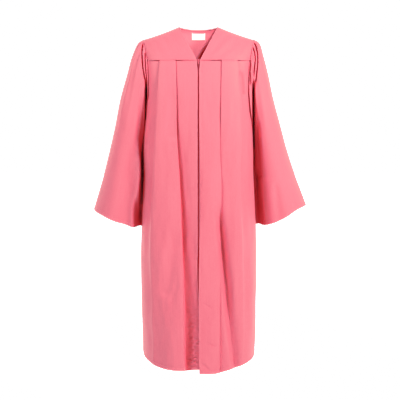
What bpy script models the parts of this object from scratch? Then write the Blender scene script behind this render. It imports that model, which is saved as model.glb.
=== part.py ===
"""A graduation gown in coral cloth, hanging as it does when worn, with no wearer in it.

It is a yoke over the shoulders, two fronts that a zip joins, a back, two bell sleeves gathered
into the armholes, and a plain label inside the neck. +X is the viewer's right, the fronts face -Y
and +Z is up. The origin is midway between the two highest points of the shoulders, where the
neckline starts. Left and right are the viewer's. All sizes are in metres.
"""

import math

import bmesh
import bpy
import numpy as np
from mathutils import Matrix


def table(names, *rows):
    """A table with named columns: each name gives an array with one value for each row."""
    columns = zip(*rows)
    return {name: np.array(column, float) for name, column in zip(names.split(), columns)}


# Cloth and seams
CLOTH = 0.0012
SEAM_GAP = 0.0003
TAPE_CLOTH = 0.0010
LABEL_CLOTH = 0.0010

# Shoulders and neckline
NECK_HALF_WIDTH = 0.072
SHOULDER_HALF_WIDTH = 0.207
SHOULDER_DROP = 0.0476
SHOULDER_CURVE = 0.2
BACK_NECK_DEPTH = 0.060
BACK_NECK_DROP = 0.0065
YOKE_SEAM_Z = -0.125
YOKE_SEAM_HALF_WIDTH = 0.190
BACK_YOKE_SEAM_Z = -0.160
YOKE_ROUNDNESS = 0.5
NECK_SHARE = 0.40
NECK_SHARE_AT_SEAM = 0.55

# The body hangs on rounded rectangles, superellipses with this power.
BODY_POWER = 2.3
BODY = table(
    "z half_width front_depth back_depth",
    (-0.100, 0.2060, 0.098, 0.090),
    (-0.125, 0.2050, 0.105, 0.095),
    (-0.200, 0.2010, 0.124, 0.108),
    (-0.310, 0.2010, 0.138, 0.118),
    (-0.400, 0.2090, 0.145, 0.122),
    (-0.550, 0.2140, 0.150, 0.125),
    (-0.700, 0.2210, 0.155, 0.130),
    (-0.870, 0.2270, 0.160, 0.136),
    (-1.150, 0.2270, 0.168, 0.145),
    (-1.320, 0.2250, 0.172, 0.150),
)

# Where the armhole runs on the body, down to the underarm
UNDERARM_Z = -0.310
ARMHOLE = table(
    "z half_width",
    (-0.125, 0.1900),
    (-0.160, 0.1872),
    (-0.200, 0.1852),
    (-0.240, 0.1862),
    (-0.275, 0.1915),
    (-0.295, 0.1970),
    (-0.310, 0.2010),
)

# The hem's height, from the middle (0) round to the side (1)
HEM_Z = -1.300
HEM_STARTS_Z = -0.400
HEM = table(
    "around left right back",
    (0.00, -1.2975, -1.3125, -1.285),
    (0.20, -1.3015, -1.3130, -1.285),
    (0.40, -1.3010, -1.3010, -1.284),
    (0.60, -1.2960, -1.2950, -1.282),
    (0.80, -1.2860, -1.2850, -1.276),
    (1.00, -1.2660, -1.2660, -1.266),
)

# The folded edges of the box pleat on each front and each half of the back: its inner and outer
# edge, measured from the middle.
PLEAT_EDGES = table(
    "z left_inner left_outer right_inner right_outer back_inner back_outer",
    (-0.125, 0.0835, 0.1430, 0.0850, 0.1444, 0.0560, 0.1180),
    (-0.235, 0.0803, 0.1488, 0.0823, 0.1535, 0.0560, 0.1230),
    (-0.395, 0.0785, 0.1575, 0.0814, 0.1560, 0.0580, 0.1280),
    (-0.530, 0.0708, 0.1650, 0.0835, 0.1535, 0.0590, 0.1340),
    (-0.760, 0.0630, 0.1800, 0.0830, 0.1594, 0.0620, 0.1400),
    (-1.025, 0.0560, 0.1820, 0.0815, 0.1661, 0.0660, 0.1460),
    (-1.315, 0.0525, 0.1800, 0.0830, 0.1690, 0.0700, 0.1500),
)

# How far the pleats lie folded under, how far they have opened (0 flat, 1 a soft step), and how
# far the cloth beside and on the pleat stands in and out. Softness widens an opened step.
STRIP_BEND = 1.3
SIDE_STRIP_FADES = 0.8
PLEATS = table(
    "z under opened inner_low outer_low high inner_soft outer_soft",
    (-0.125, 0.0200, 0.00, -0.0036, -0.0036, 0.0012, 1.0, 1.0),
    (-0.200, 0.0190, 0.10, -0.0042, -0.0040, 0.0018, 1.0, 1.0),
    (-0.350, 0.0160, 0.45, -0.0065, -0.0050, 0.0040, 1.0, 1.4),
    (-0.550, 0.0120, 0.85, -0.0095, -0.0050, 0.0060, 1.0, 1.9),
    (-0.750, 0.0080, 1.00, -0.0125, -0.0045, 0.0070, 1.0, 2.3),
    (-1.000, 0.0060, 1.00, -0.0145, -0.0040, 0.0070, 1.0, 2.5),
    (-1.320, 0.0060, 1.00, -0.0160, -0.0040, 0.0070, 1.0, 2.6),
)

# One pleat edge, from the low cloth to the high cloth: flat_along is in lengths of the part
# folded under, open_along in metres, and both rises go from 0, low, to 1, high.
PLEAT_FOLD = table(
    "flat_along flat_rise open_along open_rise",
    (0.40, 0.00, -0.0160, 0.00),
    (0.93, 0.05, -0.0080, 0.05),
    (1.00, 0.25, -0.0030, 0.18),
    (0.93, 0.45, 0.0000, 0.38),
    (0.45, 0.50, 0.0015, 0.56),
    (0.07, 0.55, 0.0030, 0.74),
    (0.00, 0.75, 0.0055, 0.90),
    (0.07, 0.95, 0.0095, 0.98),
    (0.55, 1.00, 0.0180, 1.00),
)

# The edges at the middle of the fronts: half the gap where the zip shows, then below the zip
ZIP_BOTTOM_Z = -0.845
FRONT_EDGES = table(
    "z left right left_behind",
    (-0.125, 0.0052, 0.0052, 0.0),
    (-0.136, 0.0050, 0.0050, 0.0),
    (-0.160, 0.0027, 0.0027, 0.0),
    (-0.845, 0.0027, 0.0027, 0.0),
    (-0.890, 0.0050, 0.0012, 0.002),
    (-0.960, 0.0022, 0.0012, 0.005),
    (-1.120, 0.0010, 0.0014, 0.009),
    (-1.230, 0.0024, 0.0024, 0.012),
    (-1.320, 0.0020, 0.0034, 0.014),
)

# Soft folds in the body, each a trough (or a ridge, where deep is negative) along a straight
# line. Face 0 is the fronts and 1 the back. Each fades in and out over a share of its length,
# and all of them fade away at the armholes and the side seams, over an angle round the body.
FOLD_FADES_IN = 0.25
FOLD_FADES_OUT = 0.92
EDGE_STILL = 0.25
BODY_FOLDS = table(
    "face top_x top_z bottom_x bottom_z wide deep",
    (0, -0.095, -0.215, -0.097, -0.420, 0.016, 0.0035),
    (0, -0.084, -0.720, -0.128, -1.020, 0.020, 0.0070),
    (0, -0.145, -0.850, -0.165, -1.330, 0.030, 0.0060),
    (0, 0.158, -0.160, 0.171, -0.260, 0.011, 0.0060),
    (0, 0.100, -0.760, 0.166, -1.330, 0.024, 0.0120),
    (0, 0.195, -0.560, 0.196, -1.330, 0.020, -0.0040),
    (1, -0.165, -0.420, -0.178, -1.330, 0.026, 0.0070),
    (1, -0.020, -0.600, -0.010, -1.330, 0.026, 0.0060),
    (1, 0.100, -0.720, 0.112, -1.330, 0.024, 0.0080),
    (1, 0.170, -0.380, 0.186, -1.330, 0.026, 0.0060),
)

# The sleeve: its outer line and its inner line, and how far it reaches to the front and the back
SLEEVE = table(
    "down left_x left_z right_x right_z inner_x inner_z front_y back_y",
    (0.00, 0.2070, -0.0476, 0.2070, -0.0476, 0.2010, -0.310, -0.050, 0.055),
    (0.05, 0.2250, -0.0620, 0.2260, -0.0620, 0.2020, -0.330, -0.062, 0.065),
    (0.12, 0.2470, -0.1075, 0.2410, -0.1075, 0.2040, -0.360, -0.072, 0.075),
    (0.22, 0.2700, -0.1750, 0.2620, -0.1750, 0.2080, -0.405, -0.076, 0.082),
    (0.35, 0.2990, -0.2620, 0.2860, -0.2650, 0.2140, -0.465, -0.078, 0.090),
    (0.50, 0.3240, -0.3720, 0.3180, -0.3700, 0.2190, -0.540, -0.078, 0.098),
    (0.65, 0.3490, -0.4670, 0.3500, -0.4640, 0.2220, -0.610, -0.078, 0.106),
    (0.82, 0.3820, -0.5880, 0.3890, -0.5780, 0.2240, -0.685, -0.078, 0.114),
    (1.00, 0.4170, -0.7080, 0.4260, -0.6940, 0.2230, -0.766, -0.076, 0.120),
)

# How the gathered head spreads: round is 0 at the top, 1/4 at the front, 1/2 under the arm
# and 3/4 at the back. at_head is the share of the armhole's length, at_hem the place on the hem.
SLEEVE_SPREAD = table(
    "round at_head at_hem",
    (0.000, 0.000, 0.000),
    (0.080, 0.035, 0.125),
    (0.200, 0.110, 0.270),
    (0.360, 0.205, 0.385),
    (0.430, 0.345, 0.440),
    (0.500, 0.500, 0.500),
    (0.570, 0.655, 0.565),
    (0.640, 0.795, 0.630),
    (0.800, 0.890, 0.765),
    (0.920, 0.965, 0.890),
    (1.000, 1.000, 1.000),
)
FLUTES = 9
FLUTED_ROUND = 0.36
FLUTES_FADE_FROM = 0.92
FLUTE_HEIGHT = 0.0100
FLUTE = table(
    "down height",
    (0.00, 0.40),
    (0.04, 0.90),
    (0.10, 1.00),
    (0.20, 0.80),
    (0.32, 0.40),
    (0.45, 0.10),
    (0.60, 0.00),
    (1.00, 0.00),
)
HEAD_FADES_DOWN = 0.34

# How far the sleeve keeps from the armhole's edge, and from the body's side below it
ARMHOLE_CLEAR_TOP = 0.0008
ARMHOLE_CLEAR_BOTTOM = 0.0019
SIDE_CLEAR = 0.0065
SIDE_CLEAR_ABOVE = 0.07
SIDE_CLEAR_FROM_Z = -0.290
SIDE_CLEAR_FULL_Z = -0.400

# Soft folds in the sleeves, as troughs from a place round and down the sleeve to another
SLEEVE_FOLDS = table(
    "side top_round top_down bottom_round bottom_down wide deep",
    (0, 0.225, 0.52, 0.275, 1.08, 0.022, 0.0100),
    (0, 0.380, 0.60, 0.400, 1.08, 0.028, 0.0080),
    (0, 0.700, 0.45, 0.720, 1.08, 0.030, 0.0100),
    (0, 0.860, 0.60, 0.840, 1.08, 0.030, 0.0080),
    (1, 0.330, 0.30, 0.350, 0.62, 0.024, 0.0090),
    (1, 0.400, 0.58, 0.365, 1.08, 0.026, 0.0120),
    (1, 0.180, 0.70, 0.200, 1.08, 0.030, 0.0060),
    (1, 0.690, 0.40, 0.730, 1.08, 0.030, 0.0100),
    (1, 0.850, 0.55, 0.820, 1.08, 0.028, 0.0080),
)

# The zip
TAPE_FROM = 0.010
TAPE_TO = 0.160
TAPE_BEHIND = 0.0014
CHAIN_HALF_WIDTH = 0.0022
CHAIN_FRONT = 0.0003
CHAIN_BACK = 0.0023
CHAIN_TOP_Z = -0.1275
SLIDER_Z = -0.1265
SLIDER_HALF_LENGTH = 0.0055
SLIDER_HALF_WIDTH = 0.0042
PLATE = 0.0010
PLATE_CLEAR = 0.0004
POST_HALF_WIDTH = 0.0013
POST_BOTTOM = 0.0017
BRIDGE_HALF_WIDTH = 0.0010
BRIDGE_HALF_LENGTH = 0.0030
BRIDGE_BAR = 0.0010
BRIDGE_ROOM = 0.0019
PULL_HALF_WIDTH = 0.0024
PULL_EYE_HALF_WIDTH = 0.0014
PULL_BAR = 0.0010
PULL_EYE_LENGTH = 0.0044
PULL_LENGTH = 0.0155
UNION_OVERLAP = 0.0002

# The label inside the back of the neck, in the back yoke's own places across and down
LABEL_ACROSS = (0.0, 0.048, 0.096)
LABEL_DOWN = (0.075, 0.155, 0.235)

# How closely the solids follow these forms
STRIP_PLACES = (0.0, TAPE_TO, 0.4, 0.7)
BOX_PLACES = (0.25, 0.5, 0.75)
SIDE_PLACES = (0.12, 0.28, 0.45, 0.62, 0.77, 0.9, 1.0)
BODY_ROWS = (
    -0.125, -0.137, -0.160, -0.190, -0.220, -0.250, -0.275, -0.295, -0.310, -0.360,
    -0.430, -0.520, -0.630, -0.740, -0.845, -0.930, -1.025, -1.120, -1.215, -1.300,
)
SLEEVE_ROWS = (0.0, 0.025, 0.06, 0.11, 0.18, 0.27, 0.38, 0.50, 0.63, 0.76, 0.88, 1.0)
YOKE_COLUMNS = 9
YOKE_DOWN = (0.0, *LABEL_DOWN, 0.45, 0.7, 1.0)
NECK_PLACES = (*LABEL_ACROSS, 0.170, 0.250, 0.330)
FLUTE_SAMPLES = 4
UNDERARM_COLUMNS = 14
YOKE_STEPS = 25
ARMHOLE_STEPS = 40
NUDGE = 1e-9
LEAST_LEAN = 0.68
SHARP_ANGLE = math.radians(50)
PULL_END_SIDES = 6


def curve(at, places, values):
    """A smooth curve through a table's points: a cubic on each stretch, with the slope at each
    point taken from its two neighbours. Before the first place and after the last it is flat."""
    at = np.asarray(at, float)
    if places[0] > places[-1]:
        places, values = places[::-1], values[::-1]
    slopes = np.gradient(values, places)
    k = np.clip(np.searchsorted(places, at) - 1, 0, len(places) - 2)
    width = places[k + 1] - places[k]
    t = np.clip((at - places[k]) / width, 0.0, 1.0)
    rise = values[k] * (1 + 2 * t) * (1 - t) ** 2 + values[k + 1] * t**2 * (3 - 2 * t)
    return rise + width * (slopes[k] * t * (1 - t) ** 2 - slopes[k + 1] * t**2 * (1 - t))


def smooth(value, start, end):
    """0 before start and 1 after end, with a soft S between."""
    t = np.clip((value - start) / (end - start), 0.0, 1.0)
    return t * t * (3 - 2 * t)


def trough(folds, kind, across, down, start, end):
    """The depth of the soft folds of one kind at (across, down). Each fold is a bell shape
    across its line, and fades in and out at the ends of the line."""
    total = np.zeros(np.broadcast(across, down).shape)
    for row in range(len(folds["wide"])):
        if folds[start[0]][row] != kind:
            continue
        top, bottom = folds[start[2]][row], folds[end[1]][row]
        share = (down - top) / (bottom - top)
        middle = folds[start[1]][row] + share * (folds[end[0]][row] - folds[start[1]][row])
        away = (across - middle) / folds["wide"][row]
        fades_out = smooth(share, FOLD_FADES_OUT, 1.0) * (bottom > HEM_Z)
        held = smooth(share, 0.0, FOLD_FADES_IN) * (1 - fades_out)
        total = total + folds["deep"][row] * np.exp(-away * away) * held
    return total


def body_point(angle, z, front):
    """A point on the body's rounded rectangle at each height, and the direction straight out.
    The angle is 0 in the middle and a quarter turn at the side."""
    half_width = curve(z, BODY["z"], BODY["half_width"])
    depth = curve(z, BODY["z"], BODY["front_depth" if front else "back_depth"])
    x = np.abs(np.sin(angle)) ** (2 / BODY_POWER)
    y = np.abs(np.cos(angle)) ** (2 / BODY_POWER)
    out = np.stack([x ** (BODY_POWER - 1) / half_width, y ** (BODY_POWER - 1) / depth], axis=-1)
    out /= np.linalg.norm(out, axis=-1, keepdims=True)
    return half_width * x, depth * y, out[..., 0], out[..., 1]


def angle_at(x, z):
    """The angle on the body's rounded rectangle that is x away from the middle."""
    share = np.clip(x / curve(z, BODY["z"], BODY["half_width"]), 0.0, 1.0)
    return np.arcsin(share ** (BODY_POWER / 2))


def edge_angle(z):
    """The angle of the panel's outer edge: the armhole, then the side seam below it."""
    armhole = angle_at(curve(z, ARMHOLE["z"], ARMHOLE["half_width"]), z)
    return np.where(z > UNDERARM_Z, armhole, math.pi / 2)


def pleat_edge(place, z, soft):
    """One pleat edge at each height: how far it runs along from the folded edge, and its rise.
    place goes from 0, on the low cloth, to 1, on the high cloth."""
    rows = np.arange(len(PLEAT_FOLD["flat_along"]), dtype=float)
    at = place * rows[-1]
    opened = curve(z, PLEATS["z"], PLEATS["opened"])
    flat = curve(at, rows, PLEAT_FOLD["flat_along"]) * curve(z, PLEATS["z"], PLEATS["under"])
    wide = curve(at, rows, PLEAT_FOLD["open_along"]) * curve(z, PLEATS["z"], PLEATS[soft])
    flat_rise = curve(at, rows, PLEAT_FOLD["flat_rise"])
    open_rise = curve(at, rows, PLEAT_FOLD["open_rise"])
    along = flat + (wide - flat) * opened
    return along, flat_rise + (open_rise - flat_rise) * opened


def half_panel(name, side, columns, rows):
    """The middle surface of one half of the body, from the middle to the side. Side -1 is the
    viewer's left. A column is a number: its whole part picks the strip beside the middle (0),
    the inner pleat edge (1), the top of the pleat (2), the outer pleat edge (3) or the strip at
    the side (4), and the rest is the place in it. A row is a height before the hem's own line
    is taken in."""
    stretch = np.minimum(np.floor(columns), 4)[None, :]
    place = columns[None, :] - stretch
    z = np.repeat(np.asarray(rows, float)[:, None], len(columns), axis=1)
    inner = curve(z, PLEAT_EDGES["z"], PLEAT_EDGES[name + "_inner"])
    outer = curve(z, PLEAT_EDGES["z"], PLEAT_EDGES[name + "_outer"])
    high = curve(z, PLEATS["z"], PLEATS["high"])
    inner_low = curve(z, PLEATS["z"], PLEATS["inner_low"])
    outer_low = curve(z, PLEATS["z"], PLEATS["outer_low"])
    middle, behind = np.zeros(z.shape), np.zeros(z.shape)
    if name != "back":
        middle = np.interp(-z, -FRONT_EDGES["z"], FRONT_EDGES[name])
    if name == "left":
        behind = curve(z, FRONT_EDGES["z"], FRONT_EDGES["left_behind"])

    in_along, in_rise = pleat_edge(place, z, "inner_soft")
    out_along, out_rise = pleat_edge(1 - place, z, "outer_soft")
    low_end = inner + pleat_edge(np.zeros(z.shape), z, "inner_soft")[0]
    high_start = inner + pleat_edge(np.ones(z.shape), z, "inner_soft")[0]
    high_end = outer - pleat_edge(np.ones(z.shape), z, "outer_soft")[0]
    side_start = outer - pleat_edge(np.zeros(z.shape), z, "outer_soft")[0]
    x = np.select(
        [stretch == 0, stretch == 1, stretch == 2, stretch == 3],
        [
            middle + (low_end - middle) * place,
            inner + in_along,
            high_start + (high_end - high_start) * place,
            outer - out_along,
        ],
        side_start,
    )
    out = np.select(
        [stretch == 0, stretch == 1, stretch == 2, stretch == 3],
        [
            inner_low * place**STRIP_BEND - behind * (1 - place),
            inner_low + (high - inner_low) * in_rise,
            high + 0 * z,
            outer_low + (high - outer_low) * out_rise,
        ],
        outer_low * (1 - smooth(place, 0.0, SIDE_STRIP_FADES)),
    )
    angle = angle_at(x, z)
    angle = np.where(stretch == 4, angle + (edge_angle(z) - angle) * place, angle)
    base_x, _, _, _ = body_point(angle, z, name != "back")
    face = 1 if name == "back" else 0
    names = ("face", "top_x", "top_z"), ("bottom_x", "bottom_z")
    folds = trough(BODY_FOLDS, face, side * base_x, z, *names)
    out = out - folds * smooth(edge_angle(z) - angle, 0.0, EDGE_STILL)
    around = np.clip(angle / (math.pi / 2), 0, 1)
    hem = curve(around, HEM["around"], HEM[name])
    z = z + (hem - HEM_Z) * np.clip((HEM_STARTS_Z - z) / (HEM_STARTS_Z - HEM_Z), 0, None)
    x, y, out_x, out_y = body_point(angle, z, name != "back")
    y_sign = 1.0 if name == "back" else -1.0
    points = np.stack([x + out * out_x, y_sign * (y + out * out_y + SEAM_GAP / 2), z], axis=-1)
    points[0, :, 2] -= SEAM_GAP
    return points * (side, 1, 1)


def shoulder(share):
    """The shoulder line, from the neck (0) to the armhole (1)."""
    x = NECK_HALF_WIDTH + (SHOULDER_HALF_WIDTH - NECK_HALF_WIDTH) * share
    z = -SHOULDER_DROP * ((1 + SHOULDER_CURVE) * share - SHOULDER_CURVE * share**2)
    return x, z


def yoke_fall(down):
    """How far forward or back the yoke has come at each share of its height: half a straight
    slope and half a quarter circle."""
    return (1 - YOKE_ROUNDNESS) * down + YOKE_ROUNDNESS * np.sqrt(1 - (1 - down) ** 2)


def front_yoke(side, across, down):
    """The front yoke: across goes from the neckline to the armhole, down from the shoulder line
    to the seam. Each point moves straight from one to the other, seen from the front."""
    top_x, top_z = shoulder(across)
    middle = FRONT_EDGES["right"][0]
    seam_x = middle + (YOKE_SEAM_HALF_WIDTH - middle) * across
    _, seam_y, _, _ = body_point(angle_at(seam_x, YOKE_SEAM_Z), YOKE_SEAM_Z, True)
    x = top_x + (seam_x - top_x) * down
    y = -seam_y * yoke_fall(down) - SEAM_GAP / 2
    z = top_z + (YOKE_SEAM_Z - top_z) * down
    return np.stack([side * x, y, z], axis=-1)


def back_yoke(across, down):
    """The back yoke: across goes from -1 at one armhole to 1 at the other, and down from the
    neckline and the shoulder lines to the seam."""
    size = np.abs(across)
    in_neck = size < NECK_SHARE
    turn = np.clip(size / NECK_SHARE, 0, 1) * math.pi / 2
    share = np.clip((size - NECK_SHARE) / (1 - NECK_SHARE), 0, 1)
    shoulder_x, shoulder_z = shoulder(share)
    top_x = np.where(in_neck, NECK_HALF_WIDTH * np.sin(turn), shoulder_x)
    top_y = BACK_NECK_DEPTH * np.cos(turn)
    top_z = np.where(in_neck, -BACK_NECK_DROP * np.cos(turn) ** 2, shoulder_z)
    neck_x = YOKE_SEAM_HALF_WIDTH * NECK_SHARE_AT_SEAM
    seam_half = curve(BACK_YOKE_SEAM_Z, ARMHOLE["z"], ARMHOLE["half_width"])
    seam_x = np.where(
        in_neck, neck_x * size / NECK_SHARE, neck_x + (seam_half - neck_x) * share
    )
    _, seam_y, _, _ = body_point(angle_at(seam_x, BACK_YOKE_SEAM_Z), BACK_YOKE_SEAM_Z, False)
    x = top_x + (seam_x - top_x) * down
    y = top_y + (seam_y - top_y) * yoke_fall(down) + SEAM_GAP / 2
    z = top_z + (BACK_YOKE_SEAM_Z - top_z) * down
    return np.stack([np.sign(across) * x, y, z], axis=-1)


def armhole_loop():
    """The right armhole as a closed line: from the shoulder down the front to the underarm, and
    up the back. It gives the line's points and how far along it each one lies."""
    down = np.linspace(0, 1, YOKE_STEPS)
    front = front_yoke(1, np.ones(YOKE_STEPS), down)
    z = np.linspace(YOKE_SEAM_Z, UNDERARM_Z, ARMHOLE_STEPS)
    x, y, _, _ = body_point(edge_angle(z + NUDGE), z, True)
    body_front = np.stack([x, -y, z], axis=-1)
    z = np.linspace(UNDERARM_Z, BACK_YOKE_SEAM_Z, ARMHOLE_STEPS)
    x, y, _, _ = body_point(edge_angle(z + NUDGE), z, False)
    body_back = np.stack([x, y, z], axis=-1)
    back = back_yoke(np.ones(YOKE_STEPS), down[::-1])
    line = np.concatenate([front[:-1], body_front[:-1], body_back[1:], back[1:]])
    step = np.linalg.norm(np.diff(line, axis=0), axis=1)
    return line, np.concatenate([[0], np.cumsum(step)])


def along_armhole(share):
    """Points at these shares of the armhole's length, half of it down the front."""
    line, along = armhole_loop()
    underarm = along[np.argmin(line[:, 2])]
    share = np.asarray(share, float) % 1.0
    at = np.where(
        share < 0.5, 2 * share * underarm, underarm + (2 * share - 1) * (along[-1] - underarm)
    )
    return np.stack([np.interp(at, along, line[:, k]) for k in range(3)], axis=-1)


def sleeve(side, around, down):
    """The middle surface of a sleeve: around goes once round from the top by the front, and down
    from the armhole to the hem. It is an oval at each place down, which the gathered head
    pulls into the armhole, with flutes and folds standing on it."""
    name = "left" if side < 0 else "right"
    outer_x = curve(down, SLEEVE["down"], SLEEVE[name + "_x"])
    outer_z = curve(down, SLEEVE["down"], SLEEVE[name + "_z"])
    inner_x = curve(down, SLEEVE["down"], SLEEVE["inner_x"])
    inner_z = curve(down, SLEEVE["down"], SLEEVE["inner_z"])
    front_y = curve(down, SLEEVE["down"], SLEEVE["front_y"])
    back_y = curve(down, SLEEVE["down"], SLEEVE["back_y"])
    turn = 2 * math.pi * curve(around, SLEEVE_SPREAD["round"], SLEEVE_SPREAD["at_hem"])
    high, forward = (1 + np.cos(turn)) / 2, (1 + np.sin(turn)) / 2

    def oval(at):
        """The oval at one place down the sleeve."""
        x = inner_x[at] + (outer_x[at] - inner_x[at]) * high
        y = back_y[at] + (front_y[at] - back_y[at]) * forward
        z = inner_z[at] + (outer_z[at] - inner_z[at]) * high
        return np.stack([x, y, z], axis=-1)

    every = np.index_exp[:, :]
    first = np.index_exp[:1, :]
    head = along_armhole(curve(around[:1], SLEEVE_SPREAD["round"], SLEEVE_SPREAD["at_head"]))
    low = (1 - np.cos(2 * math.pi * around[:1])) / 2
    head[..., 0] += ARMHOLE_CLEAR_TOP + (ARMHOLE_CLEAR_BOTTOM - ARMHOLE_CLEAR_TOP) * low
    pull = 1 - smooth(down, 0.0, HEAD_FADES_DOWN)
    points = oval(every) + (head - oval(first)) * pull[..., None]

    near_top = np.minimum(around, 1 - around) / FLUTED_ROUND
    waves = (1 - np.cos(2 * math.pi * FLUTES * (around + FLUTED_ROUND) / (2 * FLUTED_ROUND))) / 2
    held = 1 - smooth(near_top, FLUTES_FADE_FROM, 1.0)
    flutes = waves * held * curve(down, FLUTE["down"], FLUTE["height"])
    names = ("side", "top_round", "top_down"), ("bottom_round", "bottom_down")
    folds = trough(SLEEVE_FOLDS, 0 if side < 0 else 1, around, down, *names)
    points = points + (FLUTE_HEIGHT * flutes - folds)[..., None] * outward(points)

    clear = SIDE_CLEAR * smooth(-points[..., 2], -SIDE_CLEAR_FROM_Z, -SIDE_CLEAR_FULL_Z)
    half_width = curve(points[..., 2], BODY["z"], BODY["half_width"])
    front = curve(points[..., 2], BODY["z"], BODY["front_depth"])
    back = curve(points[..., 2], BODY["z"], BODY["back_depth"])
    depth = np.where(points[..., 1] < 0, front, back)
    side_x = half_width * np.clip(1 - np.abs(points[..., 1] / depth) ** BODY_POWER, 0, 1) ** (
        1 / BODY_POWER
    )
    beside = down > 0
    kept = np.maximum(points[..., 0], side_x + ARMHOLE_CLEAR_BOTTOM + clear)
    low_enough = smooth(-points[..., 2], -UNDERARM_Z - SIDE_CLEAR_ABOVE, -UNDERARM_Z)
    points[..., 0] += np.where(beside, (kept - points[..., 0]) * low_enough, 0)
    return points * (side, 1, 1)


def outward(points):
    """The direction straight out of a tube's rings at each point."""
    across = np.roll(points, -1, axis=1) - np.roll(points, 1, axis=1)
    down = np.gradient(points, axis=0)
    out = np.cross(down, across)
    out /= np.linalg.norm(out, axis=-1, keepdims=True)
    away = points - points.mean(axis=1, keepdims=True)
    return out * np.sign((out * away).sum(axis=-1).mean())


def face_normals(points, ring):
    """The direction of each cell of a grid, as an array with one fewer row and column, or with
    all its columns where the grid is a ring."""
    right = np.roll(points, -1, axis=1) if ring else points[:, 1:]
    left = points if ring else points[:, :-1]
    one = right[1:] - left[:-1]
    two = left[1:] - right[:-1]
    normal = np.cross(one, two)
    return normal / np.maximum(np.linalg.norm(normal, axis=-1, keepdims=True), 1e-12)


def grid_normals(points, ring):
    """The direction at each point of a grid, from the cells round it, made longer at a sharp
    fold so that the wall keeps its thickness there."""
    cells = face_normals(points, ring)
    if ring:
        padded = np.concatenate([cells[:, -1:], cells], axis=1)
    else:
        padded = np.concatenate([cells[:, :1], cells, cells[:, -1:]], axis=1)
    padded = np.concatenate([padded[:1], padded, padded[-1:]], axis=0)
    four = np.stack([padded[:-1, :-1], padded[1:, :-1], padded[:-1, 1:], padded[1:, 1:]])
    if ring:
        four = four[:, :, : points.shape[1]]
    mean = four.mean(axis=0)
    mean /= np.maximum(np.linalg.norm(mean, axis=-1, keepdims=True), 1e-12)
    lean = np.clip((four * mean).sum(axis=-1).mean(axis=0), LEAST_LEAN, 1.0)
    return mean / lean[..., None]


def wall(name, points, thickness, material, ring=False, shift=0.0, flat_edges=()):
    """A closed wall on a grid of points: the grid moved half the thickness to each side, with
    its edges closed. Each flat edge is (row, column, axis): there the wall has no tilt along
    that axis, so that two pieces meet face to face."""
    normal = grid_normals(points, ring)
    for row, column, axis in flat_edges:
        part = normal[row, column]
        part[..., axis] = 0
        part /= np.linalg.norm(part, axis=-1, keepdims=True)
        normal[row, column] = part
    height, width = points.shape[:2]
    outer = (points + normal * (shift + thickness / 2)).reshape(-1, 3)
    inner = (points + normal * (shift - thickness / 2)).reshape(-1, 3)
    count = height * width
    index = np.arange(count).reshape(height, width)
    right = np.roll(index, -1, axis=1) if ring else index[:, 1:]
    left = index if ring else index[:, :-1]
    a, b, c, d = left[:-1], right[:-1], right[1:], left[1:]
    flat = points.reshape(-1, 3)
    first_shorter = np.linalg.norm(flat[a] - flat[c], axis=-1) < np.linalg.norm(
        flat[b] - flat[d], axis=-1
    )
    one = np.where(first_shorter[..., None], np.stack([a, b, c], -1), np.stack([a, b, d], -1))
    two = np.where(first_shorter[..., None], np.stack([a, c, d], -1), np.stack([b, c, d], -1))
    skin = np.concatenate([one.reshape(-1, 3), two.reshape(-1, 3)])
    rims = [(index[0], ring, False), (index[-1], ring, True)]
    if not ring:
        rims += [(index[:, 0], False, True), (index[:, -1], False, False)]
    faces = [skin, skin[:, ::-1] + count]
    for line, closed, turned in rims:
        start = line if closed else line[:-1]
        end = np.roll(line, -1) if closed else line[1:]
        one = np.stack([start, start + count, end], -1)
        two = np.stack([end, start + count, end + count], -1)
        strip = np.concatenate([one, two])
        faces.append(strip[:, ::-1] if turned else strip)
    faces = np.concatenate(faces)
    vertices = np.concatenate([outer, inner])
    corners = vertices[faces]
    if np.einsum("ij,ij->i", corners[:, 0], np.cross(corners[:, 1], corners[:, 2])).sum() < 0:
        faces = faces[:, ::-1]
    return mesh_object(name, vertices, faces, material)


def mesh_object(name, vertices, faces, material):
    """An object with this mesh and material, shaded smooth but for its sharp edges."""
    mesh = bpy.data.meshes.new(name)
    mesh.from_pydata(vertices.tolist(), [], faces.tolist())
    mesh.validate()
    mesh.shade_smooth()
    mesh.set_sharp_from_angle(angle=SHARP_ANGLE)
    mesh.materials.append(material)
    made = bpy.data.objects.new(name, mesh)
    bpy.context.collection.objects.link(made)
    return made


def new_material(name, colour, roughness, metallic=0.0):
    """A Principled material of one colour."""
    made = bpy.data.materials.new(name)
    made.use_nodes = True
    shader = made.node_tree.nodes["Principled BSDF"]
    shader.inputs["Base Color"].default_value = (*colour, 1.0)
    shader.inputs["Roughness"].default_value = roughness
    shader.inputs["Metallic"].default_value = metallic
    made.diffuse_color = (*colour, 1.0)
    return made


def panel_columns():
    """The columns of half a body panel, from the middle to the side."""
    fold = np.linspace(0, 1, len(PLEAT_FOLD["flat_along"]))
    fold[-1] -= NUDGE
    stretches = [STRIP_PLACES, 1 + fold, 2 + np.array(BOX_PLACES), 3 + fold]
    return np.concatenate([*stretches, 4 + np.array(SIDE_PLACES)])


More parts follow.
